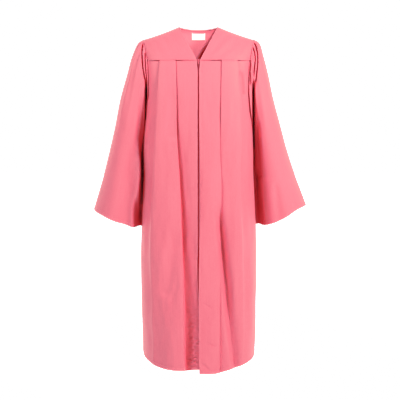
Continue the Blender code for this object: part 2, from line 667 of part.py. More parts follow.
def make_body(cloth):
    """The two fronts and the back."""
    columns, rows = panel_columns(), np.array(BODY_ROWS)
    seam = (0, slice(None), 2)
    below = [row for row, z in enumerate(rows) if z <= UNDERARM_Z]
    side_seam = (slice(below[0], None), -1, 1)
    for side, name in ((-1, "left"), (1, "right")):
        points = half_panel(name, side, columns, rows)
        wall(f"front_panel_{name}", points, CLOTH, cloth, flat_edges=(seam, side_seam))
    rows = np.array([BACK_YOKE_SEAM_Z, *[z for z in BODY_ROWS if z < BACK_YOKE_SEAM_Z]])
    below = [row for row, z in enumerate(rows) if z <= UNDERARM_Z]
    left = half_panel("back", -1, columns, rows)[:, ::-1]
    right = half_panel("back", 1, columns, rows)
    points = np.concatenate([left, right[:, 1:]], axis=1)
    sides = [(slice(below[0], None), end, 1) for end in (0, -1)]
    wall("back_panel", points, CLOTH, cloth, flat_edges=(seam, *sides))


def make_yokes(cloth):
    """The two front yokes and the back yoke, which meet on the shoulder lines."""
    shoulder_seam, yoke_seam = (0, slice(None), 1), (-1, slice(None), 2)
    down = np.array(YOKE_DOWN)[:, None]
    across = np.linspace(0, 1, YOKE_COLUMNS)[None, :]
    for side, name in ((-1, "left"), (1, "right")):
        points = front_yoke(side, across + 0 * down, down + 0 * across)
        wall(f"yoke_front_{name}", points, CLOTH, cloth, flat_edges=(shoulder_seam, yoke_seam))
    half = np.concatenate([NECK_PLACES, np.linspace(NECK_SHARE, 1, YOKE_COLUMNS)])
    across = np.concatenate([-half[:0:-1], half])[None, :]
    points = back_yoke(across + 0 * down, down + 0 * across)
    ends = YOKE_COLUMNS
    shoulders = [(0, slice(0, ends), 1), (0, slice(-ends, None), 1)]
    wall("yoke_back", points, CLOTH, cloth, flat_edges=(*shoulders, yoke_seam))


def sleeve_columns():
    """Places round a sleeve: some for each flute, and a few evenly under the arm."""
    top = np.linspace(-FLUTED_ROUND, FLUTED_ROUND, FLUTES * FLUTE_SAMPLES + 1)
    under = np.linspace(FLUTED_ROUND, 1 - FLUTED_ROUND, UNDERARM_COLUMNS + 1)[1:-1]
    return np.sort(np.concatenate([top % 1.0, under]))


def make_sleeves(cloth):
    """The two sleeves."""
    around = sleeve_columns()[None, :]
    down = np.array(SLEEVE_ROWS)[:, None]
    for side, name in ((-1, "left"), (1, "right")):
        points = sleeve(side, around + 0 * down, down + 0 * around)
        wall(f"sleeve_{name}", points, CLOTH, cloth, ring=True)


def make_label(cloth):
    """The label, on the inside of the back yoke."""
    down = np.array(LABEL_DOWN)[:, None]
    half = np.array(LABEL_ACROSS)
    across = np.concatenate([-half[:0:-1], half])[None, :]
    points = back_yoke(across + 0 * down, down + 0 * across)
    inside = np.sign(grid_normals(points, False)[..., 1].mean())
    shift = -inside * (CLOTH / 2 + SEAM_GAP + LABEL_CLOTH / 2)
    wall("neck_label", points, LABEL_CLOTH, cloth, shift=shift)


def make_zip_tapes(cloth):
    """The tapes, behind the edges of the fronts and made from the fronts' own points."""
    columns = np.array([TAPE_FROM, TAPE_TO])
    rows = np.array([z for z in BODY_ROWS if z >= ZIP_BOTTOM_Z])
    for side, name in ((-1, "left"), (1, "right")):
        points = half_panel(name, side, columns, rows)
        inside = np.sign(grid_normals(points, False)[..., 1].mean())
        wall(f"zip_tape_{name}", points, TAPE_CLOTH, cloth, shift=inside * TAPE_BEHIND)


def zip_line(z):
    """The middle line of the fronts at each height."""
    return -curve(z, BODY["z"], BODY["front_depth"])


def make_zip_chain(metal):
    """The closed chain, a flat bar that follows the middle line of the fronts."""
    rows = [z for z in BODY_ROWS if ZIP_BOTTOM_Z < z < CHAIN_TOP_Z]
    z = np.array([CHAIN_TOP_Z, *rows, ZIP_BOTTOM_Z])
    y = zip_line(z)
    corners = ((-1, CHAIN_FRONT), (1, CHAIN_FRONT), (1, CHAIN_BACK), (-1, CHAIN_BACK))
    rings = [
        np.stack([side * CHAIN_HALF_WIDTH + 0 * z, y + depth, z], axis=-1)
        for side, depth in corners
    ]
    points = np.stack(rings, axis=1)
    count = len(z)
    index = np.arange(4 * count).reshape(count, 4)
    right = np.roll(index, -1, axis=1)
    a, b, c, d = index[:-1], right[:-1], right[1:], index[1:]
    one = np.stack([a, b, c], -1).reshape(-1, 3)
    two = np.stack([a, c, d], -1).reshape(-1, 3)
    top, end = index[0], index[-1]
    top_cap = [top[[2, 1, 0]], top[[3, 2, 0]]]
    end_cap = [end[[0, 1, 2]], end[[0, 2, 3]]]
    faces = np.concatenate([one, two, top_cap, end_cap])
    vertices = points.reshape(-1, 3)
    corner = vertices[faces]
    if np.einsum("ij,ij->i", corner[:, 0], np.cross(corner[:, 1], corner[:, 2])).sum() < 0:
        faces = faces[:, ::-1]
    mesh_object("zip_chain", vertices, faces, metal)


def box(name, low, high, place, material):
    """A box between two corners, in the slider's own directions."""
    made = bmesh.new()
    bmesh.ops.create_cube(made, size=1.0)
    low, high = np.array(low), np.array(high)
    bmesh.ops.scale(made, verts=made.verts, vec=tuple(high - low))
    bmesh.ops.translate(made, verts=made.verts, vec=tuple((low + high) / 2))
    mesh = bpy.data.meshes.new(name)
    made.to_mesh(mesh)
    made.free()
    mesh.materials.append(material)
    placed = bpy.data.objects.new(name, mesh)
    placed.matrix_world = place
    bpy.context.collection.objects.link(placed)
    return placed


def combine(target, other, operation):
    """Joins another shape to the target, or cuts it away, and hides that shape."""
    other.hide_render = True
    other.display_type = "WIRE"
    modifier = target.modifiers.new(other.name, "BOOLEAN")
    modifier.operation = operation
    modifier.solver = "EXACT"
    modifier.object = other


def slider_place():
    """The slider's place on the middle line and its lean along it. Its own Y goes into the
    gown and its own Z up the zip."""
    step = 0.004
    slope = (zip_line(SLIDER_Z + step) - zip_line(SLIDER_Z - step)) / (2 * step)
    lean = Matrix.Rotation(-math.atan(float(slope)), 4, "X")
    return Matrix.Translation((0, float(zip_line(SLIDER_Z)), SLIDER_Z)) @ lean


def make_slider(metal):
    """The slider: two plates with a post between them, and the bridge that holds the pull."""
    place = slider_place()
    wide, half = SLIDER_HALF_WIDTH, SLIDER_HALF_LENGTH
    front = CHAIN_FRONT - PLATE_CLEAR
    back = CHAIN_BACK + PLATE_CLEAR
    slider = box("zip_slider", (-wide, back, -half), (wide, back + PLATE, half), place, metal)
    post = box(
        "slider_post",
        (-POST_HALF_WIDTH, front - PLATE / 2, POST_BOTTOM),
        (POST_HALF_WIDTH, back + PLATE / 2, half - PLATE / 2),
        place,
        metal,
    )
    plate = box("slider_front", (-wide, front - PLATE, -half), (wide, front, half), place, metal)
    face = front - PLATE
    reach = BRIDGE_HALF_LENGTH
    top = face - BRIDGE_ROOM
    bar = box(
        "slider_bridge",
        (-BRIDGE_HALF_WIDTH, top - BRIDGE_BAR, -reach),
        (BRIDGE_HALF_WIDTH, top, reach),
        place,
        metal,
    )
    combine(slider, post, "UNION")
    combine(slider, plate, "UNION")
    for name, end in (("slider_leg_top", 1), ("slider_leg_bottom", -1)):
        ends = sorted((end * (reach - BRIDGE_BAR), end * reach))
        leg = box(
            name,
            (-BRIDGE_HALF_WIDTH, top - UNION_OVERLAP, ends[0]),
            (BRIDGE_HALF_WIDTH, face + UNION_OVERLAP, ends[1]),
            place,
            metal,
        )
        combine(slider, leg, "UNION")
    combine(slider, bar, "UNION")
    return face - BRIDGE_ROOM / 2


def make_pull(metal, axis_depth):
    """The pull: a flat tab with an eye, whose top bar turns under the bridge."""
    place = slider_place() @ Matrix.Translation((0, axis_depth, 0))
    half = PULL_BAR / 2
    outline = [(PULL_HALF_WIDTH, half), (-PULL_HALF_WIDTH, half)]
    round_z = -PULL_LENGTH + PULL_HALF_WIDTH
    for step in range(PULL_END_SIDES + 1):
        turn = math.pi * step / PULL_END_SIDES
        outline.append(
            (-PULL_HALF_WIDTH * math.cos(turn), round_z - PULL_HALF_WIDTH * math.sin(turn))
        )
    made = bmesh.new()
    corners = [made.verts.new((x, -half, z)) for x, z in outline]
    face = made.faces.new(corners)
    extruded = bmesh.ops.extrude_face_region(made, geom=[face])
    moved = [v for v in extruded["geom"] if isinstance(v, bmesh.types.BMVert)]
    bmesh.ops.translate(made, verts=moved, vec=(0, PULL_BAR, 0))
    bmesh.ops.recalc_face_normals(made, faces=made.faces)
    mesh = bpy.data.meshes.new("zip_pull")
    made.to_mesh(mesh)
    made.free()
    mesh.materials.append(metal)
    pull = bpy.data.objects.new("zip_pull", mesh)
    pull.matrix_world = place
    bpy.context.collection.objects.link(pull)
    eye = box(
        "pull_eye",
        (-PULL_EYE_HALF_WIDTH, -PULL_BAR, -PULL_EYE_LENGTH),
        (PULL_EYE_HALF_WIDTH, PULL_BAR, -half),
        place,
        metal,
    )
    combine(pull, eye, "DIFFERENCE")
    return pull


def main():
    """The whole gown, from an empty scene."""
    for old in list(bpy.data.objects):
        bpy.data.objects.remove(old)
    coral = new_material("coral_cloth", (0.90, 0.205, 0.262), 0.62)
    white = new_material("white_label", (0.86, 0.86, 0.86), 0.7)
    tape = new_material("zip_tape", (0.72, 0.13, 0.17), 0.75)
    chain = new_material("zip_coil", (0.60, 0.12, 0.15), 0.5)
    enamel = new_material("coral_enamel", (0.86, 0.25, 0.30), 0.35)
    make_body(coral)
    make_yokes(coral)
    make_sleeves(coral)
    make_label(white)
    make_zip_tapes(tape)
    make_zip_chain(chain)
    axis_depth = make_slider(enamel)
    make_pull(enamel, axis_depth)


main()
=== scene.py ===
# %% [markdown]
# # Dressing a graduation gown
# A plain model of a graduation gown is loaded first. It has the true size, and nothing here may
# change that size. Then each cloth piece gets a finer surface with soft folds, seams, stitches
# and a woven material. It is written for someone who is learning Blender.
#
# All sizes are in metres. +X is the viewer's right, the fronts face -Y and +Z is up. The origin
# is between the two highest points of the shoulders.

# %% Load the plain model
import math

import bpy
import numpy as np
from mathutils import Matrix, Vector


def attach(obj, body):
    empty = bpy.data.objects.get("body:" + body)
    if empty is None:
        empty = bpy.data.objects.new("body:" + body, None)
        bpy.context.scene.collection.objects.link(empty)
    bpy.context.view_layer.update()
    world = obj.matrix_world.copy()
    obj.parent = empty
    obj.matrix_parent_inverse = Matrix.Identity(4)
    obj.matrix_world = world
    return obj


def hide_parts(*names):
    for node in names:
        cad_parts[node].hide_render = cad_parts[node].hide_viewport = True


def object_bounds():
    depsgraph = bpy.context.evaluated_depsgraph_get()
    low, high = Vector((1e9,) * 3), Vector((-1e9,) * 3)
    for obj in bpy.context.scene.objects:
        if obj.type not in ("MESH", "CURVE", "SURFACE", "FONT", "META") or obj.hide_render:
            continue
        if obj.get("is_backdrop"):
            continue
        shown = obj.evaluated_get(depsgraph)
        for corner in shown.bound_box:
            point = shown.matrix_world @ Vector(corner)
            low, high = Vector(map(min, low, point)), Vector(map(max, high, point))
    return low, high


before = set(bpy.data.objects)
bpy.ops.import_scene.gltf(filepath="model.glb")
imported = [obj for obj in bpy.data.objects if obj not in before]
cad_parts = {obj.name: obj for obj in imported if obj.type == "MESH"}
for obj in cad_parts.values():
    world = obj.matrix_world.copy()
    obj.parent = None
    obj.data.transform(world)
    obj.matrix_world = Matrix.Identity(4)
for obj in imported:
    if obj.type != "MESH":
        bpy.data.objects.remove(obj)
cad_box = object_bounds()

GOWN, PULL = "gown", "pull"
print("plain model:", [round(v, 4) for v in cad_box[0]], [round(v, 4) for v in cad_box[1]])

# %% [markdown]
# ## Curves through a few numbers
# A garment is described by a few measurements, such as how wide it is at some heights. A smooth
# curve through them gives every height between. A spline object could do it too, but a numpy
# function works on a whole grid of heights at once.


# %% Tables and curves
def table(names, *rows):
    """A table with named columns: each name gives an array with one value for each row."""
    columns = zip(*rows)
    return {name: np.array(column, float) for name, column in zip(names.split(), columns)}


def curve(at, places, values):
    """A smooth curve through a table's points: a cubic on each stretch, with the slope at each
    point taken from its two neighbours. Before the first place and after the last it is flat."""
    at = np.asarray(at, float)
    if places[0] > places[-1]:
        places, values = places[::-1], values[::-1]
    slopes = np.gradient(values, places)
    k = np.clip(np.searchsorted(places, at) - 1, 0, len(places) - 2)
    width = places[k + 1] - places[k]
    t = np.clip((at - places[k]) / width, 0.0, 1.0)
    rise = values[k] * (1 + 2 * t) * (1 - t) ** 2 + values[k + 1] * t**2 * (3 - 2 * t)
    return rise + width * (slopes[k] * t * (1 - t) ** 2 - slopes[k + 1] * t**2 * (1 - t))


def smooth(value, start, end):
    """0 before start and 1 after end, with a soft S between."""
    t = np.clip((value - start) / (end - start), 0.0, 1.0)
    return t * t * (3 - 2 * t)


def bell(away, width):
    """1 in the middle, falling to nothing at about twice the width on both sides."""
    return np.exp(-((away / width) ** 2))


def ripple(u, v, seed, long_u, long_v, waves=9):
    """A soft uneven relief between about -1 and 1: a sum of plane waves whose lengths along u
    and v are near long_u and long_v, with directions and starts from a fixed seed."""
    numbers = np.random.default_rng(seed)
    total = np.zeros(np.broadcast(u, v).shape)
    for _ in range(waves):
        across, down = numbers.uniform(0.4, 1.4, 2) * numbers.choice([-1, 1], 2)
        start = numbers.uniform(0, 2 * math.pi)
        total += np.sin(2 * math.pi * (across * u / long_u + down * v / long_v) + start)
    return total * math.sqrt(2 / waves) / 1.6


print("curve through 0, 1, 0:", curve([0, 0.5, 1], np.array([0, 0.5, 1]), np.array([0, 1, 0])))

# %% [markdown]
# ## The gown's measurements
# These are the plain model's own measurements, so that the fine cloth lies exactly on it. The
# body hangs on rounded rectangles. Each front has one box pleat, which is sewn flat under the
# yoke and opens into a soft step towards the hem.

# %% Measurements of the yoke and the body
SEAM_GAP = 0.0003
NECK_HALF_WIDTH = 0.072
SHOULDER_HALF_WIDTH = 0.207
SHOULDER_DROP = 0.0476
SHOULDER_CURVE = 0.2
BACK_NECK_DEPTH = 0.060
BACK_NECK_DROP = 0.0065
YOKE_SEAM_Z = -0.125
YOKE_SEAM_HALF_WIDTH = 0.190
BACK_YOKE_SEAM_Z = -0.160
YOKE_ROUNDNESS = 0.5
NECK_SHARE = 0.40
NECK_SHARE_AT_SEAM = 0.55
UNDERARM_Z = -0.310
HEM_Z = -1.300
HEM_STARTS_Z = -0.400
HEM_LEVELS = 0.42
ZIP_BOTTOM_Z = -0.845
BODY_POWER = 2.8
STRIP_BEND = 1.3
SIDE_STRIP_FADES = 0.8
EDGE_STILL = 0.25

BODY = table(
    "z half_width front_depth back_depth",
    (-0.100, 0.2060, 0.098, 0.090),
    (-0.125, 0.2050, 0.105, 0.095),
    (-0.200, 0.2010, 0.124, 0.108),
    (-0.310, 0.2010, 0.138, 0.118),
    (-0.400, 0.2090, 0.145, 0.122),
    (-0.550, 0.2140, 0.150, 0.125),
    (-0.700, 0.2210, 0.155, 0.130),
    (-0.870, 0.2270, 0.160, 0.136),
    (-1.150, 0.2270, 0.168, 0.145),
    (-1.320, 0.2250, 0.172, 0.150),
)
ARMHOLE = table(
    "z half_width",
    (-0.125, 0.1900),
    (-0.160, 0.1872),
    (-0.200, 0.1852),
    (-0.240, 0.1862),
    (-0.275, 0.1915),
    (-0.295, 0.1970),
    (-0.310, 0.2010),
)
HEM = table(
    "around left right back",
    (0.00, -1.2985, -1.3160, -1.285),
    (0.10, -1.3035, -1.3160, -1.285),
    (0.20, -1.3040, -1.3085, -1.285),
    (0.40, -1.2980, -1.2960, -1.284),
    (0.60, -1.2875, -1.2850, -1.282),
    (0.80, -1.2780, -1.2760, -1.276),
    (1.00, -1.2660, -1.2660, -1.266),
)
PLEAT_EDGES = table(
    "z left_inner left_outer right_inner right_outer back_inner back_outer",
    (-0.125, 0.0835, 0.1430, 0.0850, 0.1444, 0.0560, 0.1180),
    (-0.235, 0.0803, 0.1488, 0.0823, 0.1535, 0.0560, 0.1230),
    (-0.395, 0.0785, 0.1575, 0.0814, 0.1560, 0.0580, 0.1280),
    (-0.530, 0.0708, 0.1650, 0.0835, 0.1535, 0.0590, 0.1340),
    (-0.760, 0.0630, 0.1800, 0.0830, 0.1594, 0.0620, 0.1400),
    (-1.025, 0.0560, 0.1820, 0.0815, 0.1661, 0.0660, 0.1460),
    (-1.315, 0.0525, 0.1800, 0.0830, 0.1690, 0.0700, 0.1500),
)
PLEATS = table(
    "z under inner_open outer_open inner_low outer_low high inner_soft outer_soft",
    (-0.125, 0.0200, 0.00, 0.00, -0.0036, -0.0036, 0.0012, 1.0, 1.0),
    (-0.200, 0.0190, 0.08, 0.03, -0.0042, -0.0045, 0.0018, 0.8, 0.9),
    (-0.350, 0.0160, 0.25, 0.12, -0.0065, -0.0052, 0.0040, 0.5, 0.8),
    (-0.550, 0.0120, 0.40, 0.55, -0.0095, -0.0040, 0.0060, 0.4, 1.1),
    (-0.750, 0.0100, 0.50, 0.95, -0.0125, -0.0015, 0.0070, 0.4, 1.5),
    (-1.000, 0.0090, 0.55, 1.00, -0.0145, 0.0000, 0.0070, 0.4, 1.8),
    (-1.320, 0.0090, 0.60, 1.00, -0.0160, 0.0000, 0.0070, 0.4, 2.0),
)
PLEAT_FOLD = table(
    "flat_along flat_rise open_along open_rise",
    (0.40, 0.00, -0.0160, 0.00),
    (0.93, 0.05, -0.0080, 0.05),
    (1.00, 0.25, -0.0030, 0.18),
    (0.93, 0.45, 0.0000, 0.38),
    (0.45, 0.50, 0.0015, 0.56),
    (0.07, 0.55, 0.0030, 0.74),
    (0.00, 0.75, 0.0055, 0.90),
    (0.07, 0.95, 0.0095, 0.98),
    (0.55, 1.00, 0.0180, 1.00),
)
FRONT_EDGES = table(
    "z left right left_behind",
    (-0.125, 0.0052, 0.0052, 0.0),
    (-0.136, 0.0050, 0.0050, 0.0),
    (-0.160, 0.0027, 0.0027, 0.0),
    (-0.845, 0.0027, 0.0027, 0.0),
    (-0.890, 0.0042, 0.0012, 0.004),
    (-0.960, 0.0018, 0.0012, 0.010),
    (-1.120, -0.0060, 0.0014, 0.012),
    (-1.230, -0.0070, 0.0024, 0.014),
    (-1.320, -0.0070, 0.0034, 0.014),
)
HANG_COLUMNS = np.array([0, 1, 1.35, 1.6, 2, 2.5, 3, 3.5, 4, 5])
HANG_Z = np.array([-0.125, -0.30, -0.45, -0.65, -0.85, -1.04, -1.19, -1.32])
HANG = {
    "left": np.array(
        [
            (0, 0, 0, 0, 0, 0, 0, 0, 0, 0),
            (0, -1, 0, 0, -2, 1, 4, 5, 2, 0),
            (0, -2, -1, 0, -2, 2, 6, 6, 2, 0),
            (0, -4, -2, 0, -1, 2, 6, 6, 2, 0),
            (1, -7, -3, 0, 1, 3, 6, 6, 2, 0),
            (5, -9, -4, 0, 3, 3, 3, 4, 2, 0),
            (8, -10, -5, 0, 4, 3, 1, 2, 0, 0),
            (9, -10, -5, 0, 4, 3, 0, 2, 0, 0),
        ]
    )
    / 1000,
    "right": np.array(
        [
            (0, 0, 0, 0, 0, 0, 0, 0, 0, 0),
            (0, 1, 0, -2, -2, 1, 4, 6, 1, 0),
            (0, 3, 1, -8, -5, -1, 5, 8, 1, 0),
            (0, 7, 3, -15, -10, -3, 6, 9, 2, 0),
            (0, 10, 4, -11, -13, -5, 6, 12, 5, 0),
            (0, 11, 5, -7, -10, -7, 5, 12, 8, 0),
            (0, 12, 6, -8, -13, -8, 1, 8, 8, 0),
            (0, 12, 6, -8, -13, -8, -1, 4, 5, 0),
        ]
    )
    / 1000,
}
print("body rows:", len(BODY["z"]), "pleat rows:", len(PLEATS["z"]))

# %% [markdown]
# The sleeve is a wide bell. Its head is longer than the armhole, so the extra cloth is gathered
# there and stands out in flutes, which fade on the way down.

# %% Measurements of the sleeves
SLEEVE = table(
    "down left_x left_z right_x right_z inner_x inner_z front_y back_y",
    (0.00, 0.2070, -0.0476, 0.2070, -0.0476, 0.2010, -0.310, -0.050, 0.055),
    (0.05, 0.2250, -0.0620, 0.2260, -0.0620, 0.2020, -0.330, -0.062, 0.065),
    (0.12, 0.2470, -0.1075, 0.2410, -0.1075, 0.2040, -0.360, -0.072, 0.075),
    (0.22, 0.2680, -0.1750, 0.2610, -0.1750, 0.2080, -0.405, -0.076, 0.082),
    (0.35, 0.2950, -0.2620, 0.2835, -0.2650, 0.2140, -0.465, -0.078, 0.090),
    (0.50, 0.3195, -0.3720, 0.3145, -0.3700, 0.2190, -0.540, -0.078, 0.098),
    (0.65, 0.3445, -0.4670, 0.3420, -0.4640, 0.2220, -0.610, -0.078, 0.106),
    (0.82, 0.3790, -0.5880, 0.3820, -0.5780, 0.2240, -0.685, -0.078, 0.114),
    (1.00, 0.4160, -0.7080, 0.4255, -0.6940, 0.2230, -0.766, -0.076, 0.120),
)
SLEEVE_SPREAD = table(
    "round at_head at_hem",
    (0.000, 0.000, 0.000),
    (0.080, 0.035, 0.125),
    (0.200, 0.110, 0.270),
    (0.360, 0.205, 0.385),
    (0.430, 0.345, 0.440),
    (0.500, 0.500, 0.500),
    (0.570, 0.655, 0.565),
    (0.640, 0.795, 0.630),
    (0.800, 0.890, 0.765),
    (0.920, 0.965, 0.890),
    (1.000, 1.000, 1.000),
)
FLUTES = 9
FLUTED_ROUND = 0.36
FLUTES_FADE_FROM = 0.92
FLUTE_HEIGHT = 0.0100
FLUTE = table(
    "down height",
    (0.00, 0.40),
    (0.04, 0.90),
    (0.10, 1.00),
    (0.20, 0.80),
    (0.32, 0.40),
    (0.45, 0.10),
    (0.60, 0.00),
    (1.00, 0.00),
)
HEAD_FADES_DOWN = 0.34
HEM_CORNER_RISE = {"left": 0.006, "right": 0.018}
ARMHOLE_CLEAR_TOP = 0.0008
ARMHOLE_CLEAR_BOTTOM = 0.0019
SIDE_CLEAR = 0.0010
TUCKED = 0.012
SIDE_CLEAR_ABOVE = 0.07
SIDE_CLEAR_FROM_Z = -0.290
SIDE_CLEAR_FULL_Z = -0.400
print("sleeve rows:", len(SLEEVE["down"]))

# %% [markdown]
# ## Gathers beside the armhole
# Where the sleeve's head is gathered, its cloth closes into a few deep narrow tucks beside the
# seam, and under the arm it falls back into a dark hollow. Each is a line as seen from the
# front: its width, its depth or strength, how it starts and ends, and its points in X and Z.

# %% The gathers' lines
GATHERS = {
    "left": (
        (0.0021, 0.014, 0.05, 0.25, ((0.2071, -0.0538), (0.2115, -0.0720), (0.2119, -0.0953),
            (0.2091, -0.1341), (0.2047, -0.1672), (0.1985, -0.2056), (0.1945, -0.2400))),
        (0.0019, 0.011, 0.15, 0.25, ((0.1965, -0.0834), (0.1998, -0.1005), (0.1984, -0.1344),
            (0.1945, -0.1820), (0.1930, -0.2150))),
    ),
    "right": (
        (0.0021, 0.014, 0.05, 0.25, ((0.2040, -0.0502), (0.2134, -0.0611), (0.2177, -0.0756),
            (0.2211, -0.1011), (0.2208, -0.1341), (0.2176, -0.1672), (0.2098, -0.2319))),
        (0.0019, 0.011, 0.10, 0.25, ((0.1985, -0.0660), (0.2043, -0.0762), (0.2101, -0.0943),
            (0.2119, -0.1180), (0.2067, -0.1673), (0.2059, -0.1968))),
        (0.0017, 0.009, 0.20, 0.25, ((0.1925, -0.1115), (0.1938, -0.1274), (0.1932, -0.1478),
            (0.1920, -0.1822), (0.1915, -0.2248))),
    ),
}
HOLLOWS = {
    "left": (
        (0.0042, 0.90, 0.25, 0.30, ((0.1960, -0.1850), (0.1960, -0.2152), (0.1968, -0.2708),
            (0.1990, -0.3250), (0.2040, -0.3900))),
        (0.0300, 0.62, 0.60, 0.00, ((0.2170, -0.6100), (0.2160, -0.7000), (0.2130, -0.7900))),
    ),
    "right": (
        (0.0045, 0.90, 0.20, 0.15, ((0.2065, -0.1900), (0.2060, -0.2152), (0.2070, -0.2708),
            (0.2095, -0.3381), (0.2130, -0.4300), (0.2150, -0.4800))),
        (0.0150, 0.30, 0.30, 0.20, ((0.2130, -0.3300), (0.2180, -0.4300), (0.2210, -0.5200),
            (0.2240, -0.6200))),
        (0.0175, 1.00, 0.22, 0.00, ((0.2160, -0.5100), (0.2185, -0.5700), (0.2205, -0.6300),
            (0.2235, -0.6650), (0.2265, -0.7000), (0.2330, -0.7800))),
    ),
}
print("gathers:", len(GATHERS["left"]) + len(GATHERS["right"]))

# %% [markdown]
# ## Folds
# Hanging cloth has a few large folds and many small ones. Each one is a line on the cloth with a
# width and a depth, and it fades at its ends. They could be sculpted by hand, but a table is
# easier to move about while comparing with a photograph.

# %% The folds' lines
FOLDS = table(
    "piece top_across top_down bottom_across bottom_down bow wide deep fade_in fade_out",
    (0, -0.095, -0.215, -0.097, -0.420, 0.000, 0.016, 0.0035, 0.25, 0.10),
    (0, -0.084, -0.720, -0.128, -1.020, 0.000, 0.020, 0.0070, 0.25, 0.10),
    (0, -0.145, -0.850, -0.165, -1.330, 0.000, 0.030, 0.0060, 0.25, 0.00),
    (0, 0.158, -0.160, 0.171, -0.260, 0.000, 0.011, 0.0060, 0.25, 0.10),
    (0, 0.073, -0.620, 0.146, -1.320, 0.000, 0.0140, 0.0210, 0.20, 0.00),
    (0, 0.195, -0.560, 0.196, -1.330, 0.000, 0.020, -0.0040, 0.25, 0.00),
    (1, -0.165, -0.420, -0.178, -1.330, 0.000, 0.026, 0.0070, 0.25, 0.00),
    (1, -0.020, -0.600, -0.010, -1.330, 0.000, 0.026, 0.0060, 0.25, 0.00),
    (1, 0.100, -0.720, 0.112, -1.330, 0.000, 0.024, 0.0080, 0.25, 0.00),
    (1, 0.170, -0.380, 0.186, -1.330, 0.000, 0.026, 0.0060, 0.25, 0.00),
    (0, -0.078, -0.930, -0.113, -1.050, 0.004, 0.012, 0.0026, 0.30, 0.30),
    (0, -0.188, -0.560, -0.200, -1.000, 0.000, 0.010, 0.0018, 0.30, 0.30),
    (0, -0.120, -0.300, -0.128, -0.640, 0.003, 0.014, 0.0012, 0.30, 0.30),
    (0, 0.013, -1.018, 0.056, -1.046, 0.000, 0.006, 0.0036, 0.40, 0.40),
    (0, 0.030, -1.175, 0.072, -1.196, 0.000, 0.007, 0.0040, 0.40, 0.40),
    (0, 0.013, -1.257, 0.042, -1.286, 0.000, 0.007, 0.0042, 0.40, 0.30),
    (0, 0.020, -1.090, 0.050, -1.112, 0.000, 0.006, 0.0016, 0.40, 0.40),
    (0, 0.128, -0.200, 0.120, -0.520, 0.002, 0.010, 0.0012, 0.30, 0.30),
    (0, 0.190, -0.420, 0.200, -0.900, 0.000, 0.010, 0.0020, 0.30, 0.30),
    (1, 0.085, -0.200, 0.092, -0.520, 0.003, 0.012, 0.0014, 0.30, 0.30),
    (1, -0.092, -0.230, -0.088, -0.560, 0.003, 0.012, 0.0014, 0.30, 0.30),
    (1, -0.030, -1.020, 0.020, -1.150, 0.004, 0.012, 0.0020, 0.30, 0.30),
    (1, 0.150, -0.860, 0.128, -1.050, 0.003, 0.012, 0.0022, 0.30, 0.30),
    (1, -0.120, -0.900, -0.150, -1.120, 0.003, 0.013, 0.0022, 0.30, 0.30),
    (2, 0.215, 0.420, 0.235, 1.080, 0.000, 0.045, 0.0100, 0.35, 0.00),
    (2, 0.320, 0.280, 0.335, 1.080, 0.000, 0.038, -0.0290, 0.40, 0.00),
    (2, 0.700, 0.450, 0.720, 1.080, 0.000, 0.030, 0.0100, 0.25, 0.00),
    (2, 0.860, 0.600, 0.840, 1.080, 0.000, 0.030, 0.0080, 0.25, 0.00),
    (3, 0.330, 0.300, 0.350, 0.620, 0.000, 0.024, 0.0090, 0.25, 0.10),
    (3, 0.400, 0.580, 0.365, 1.080, 0.000, 0.026, 0.0120, 0.25, 0.00),
    (3, 0.180, 0.700, 0.200, 1.080, 0.000, 0.030, 0.0060, 0.25, 0.00),
    (3, 0.690, 0.400, 0.730, 1.080, 0.000, 0.030, 0.0100, 0.25, 0.00),
    (3, 0.850, 0.550, 0.820, 1.080, 0.000, 0.028, 0.0080, 0.25, 0.00),
)
FRONT, BACK, LEFT_SLEEVE, RIGHT_SLEEVE = 0, 1, 2, 3


def fold_depth(piece, across, down):
    """How deep the folds of one piece are at (across, down). Each fold is a bell shape across a
    line that may bow to one side, times a soft start and a soft end along the line."""
    total = np.zeros(np.broadcast(across, down).shape)
    for row in np.flatnonzero(FOLDS["piece"] == piece):
        fold = {name: column[row] for name, column in FOLDS.items()}
        share = (down - fold["top_down"]) / (fold["bottom_down"] - fold["top_down"])
        middle = fold["top_across"] + share * (fold["bottom_across"] - fold["top_across"])
        middle = middle + fold["bow"] * 4 * share * (1 - share)
        held = smooth(share, 0.0, fold["fade_in"])
        if fold["fade_out"] > 0:
            held = held * (1 - smooth(share, 1 - fold["fade_out"], 1.0))
        total += fold["deep"] * bell(across - middle, fold["wide"]) * held
    return total


print("folds:", len(FOLDS["piece"]))


# %% [markdown]
# ## The body's surface
# One function gives every point of a front or of half the back. Across the cloth it runs over
# five stretches: the strip beside the middle, the inner pleat edge, the top of the pleat, the
# outer pleat edge and the strip at the side. Down the cloth it runs over heights. Folding a flat
# grid by a formula keeps the seams exact, which a cloth simulation would not.

# %% The body's surface as a function
ZIP_STITCH = {"left": 0.0165, "right": 0.0085, "back": 0.0120}
HEM_STITCH = 0.012
CRUMPLE = 0.0018


def body_point(angle, z, front):
    """A point on the body's rounded rectangle at each height, and the direction straight out.
    The angle is 0 in the middle and a quarter turn at the side."""
    half_width = curve(z, BODY["z"], BODY["half_width"])
    depth = curve(z, BODY["z"], BODY["front_depth" if front else "back_depth"])
    turned = np.sign(angle)
    x = np.abs(np.sin(angle)) ** (2 / BODY_POWER)
    y = np.abs(np.cos(angle)) ** (2 / BODY_POWER)
    out = np.stack([x ** (BODY_POWER - 1) / half_width, y ** (BODY_POWER - 1) / depth], axis=-1)
    out /= np.linalg.norm(out, axis=-1, keepdims=True)
    return turned * half_width * x, depth * y, turned * out[..., 0], out[..., 1]


def angle_at(x, z):
    """The angle on the body's rounded rectangle that is x away from the middle. A point past
    the middle, on the other half, has an angle below 0."""
    share = np.clip(x / curve(z, BODY["z"], BODY["half_width"]), -1.0, 1.0)
    return np.sign(share) * np.arcsin(np.abs(share) ** (BODY_POWER / 2))


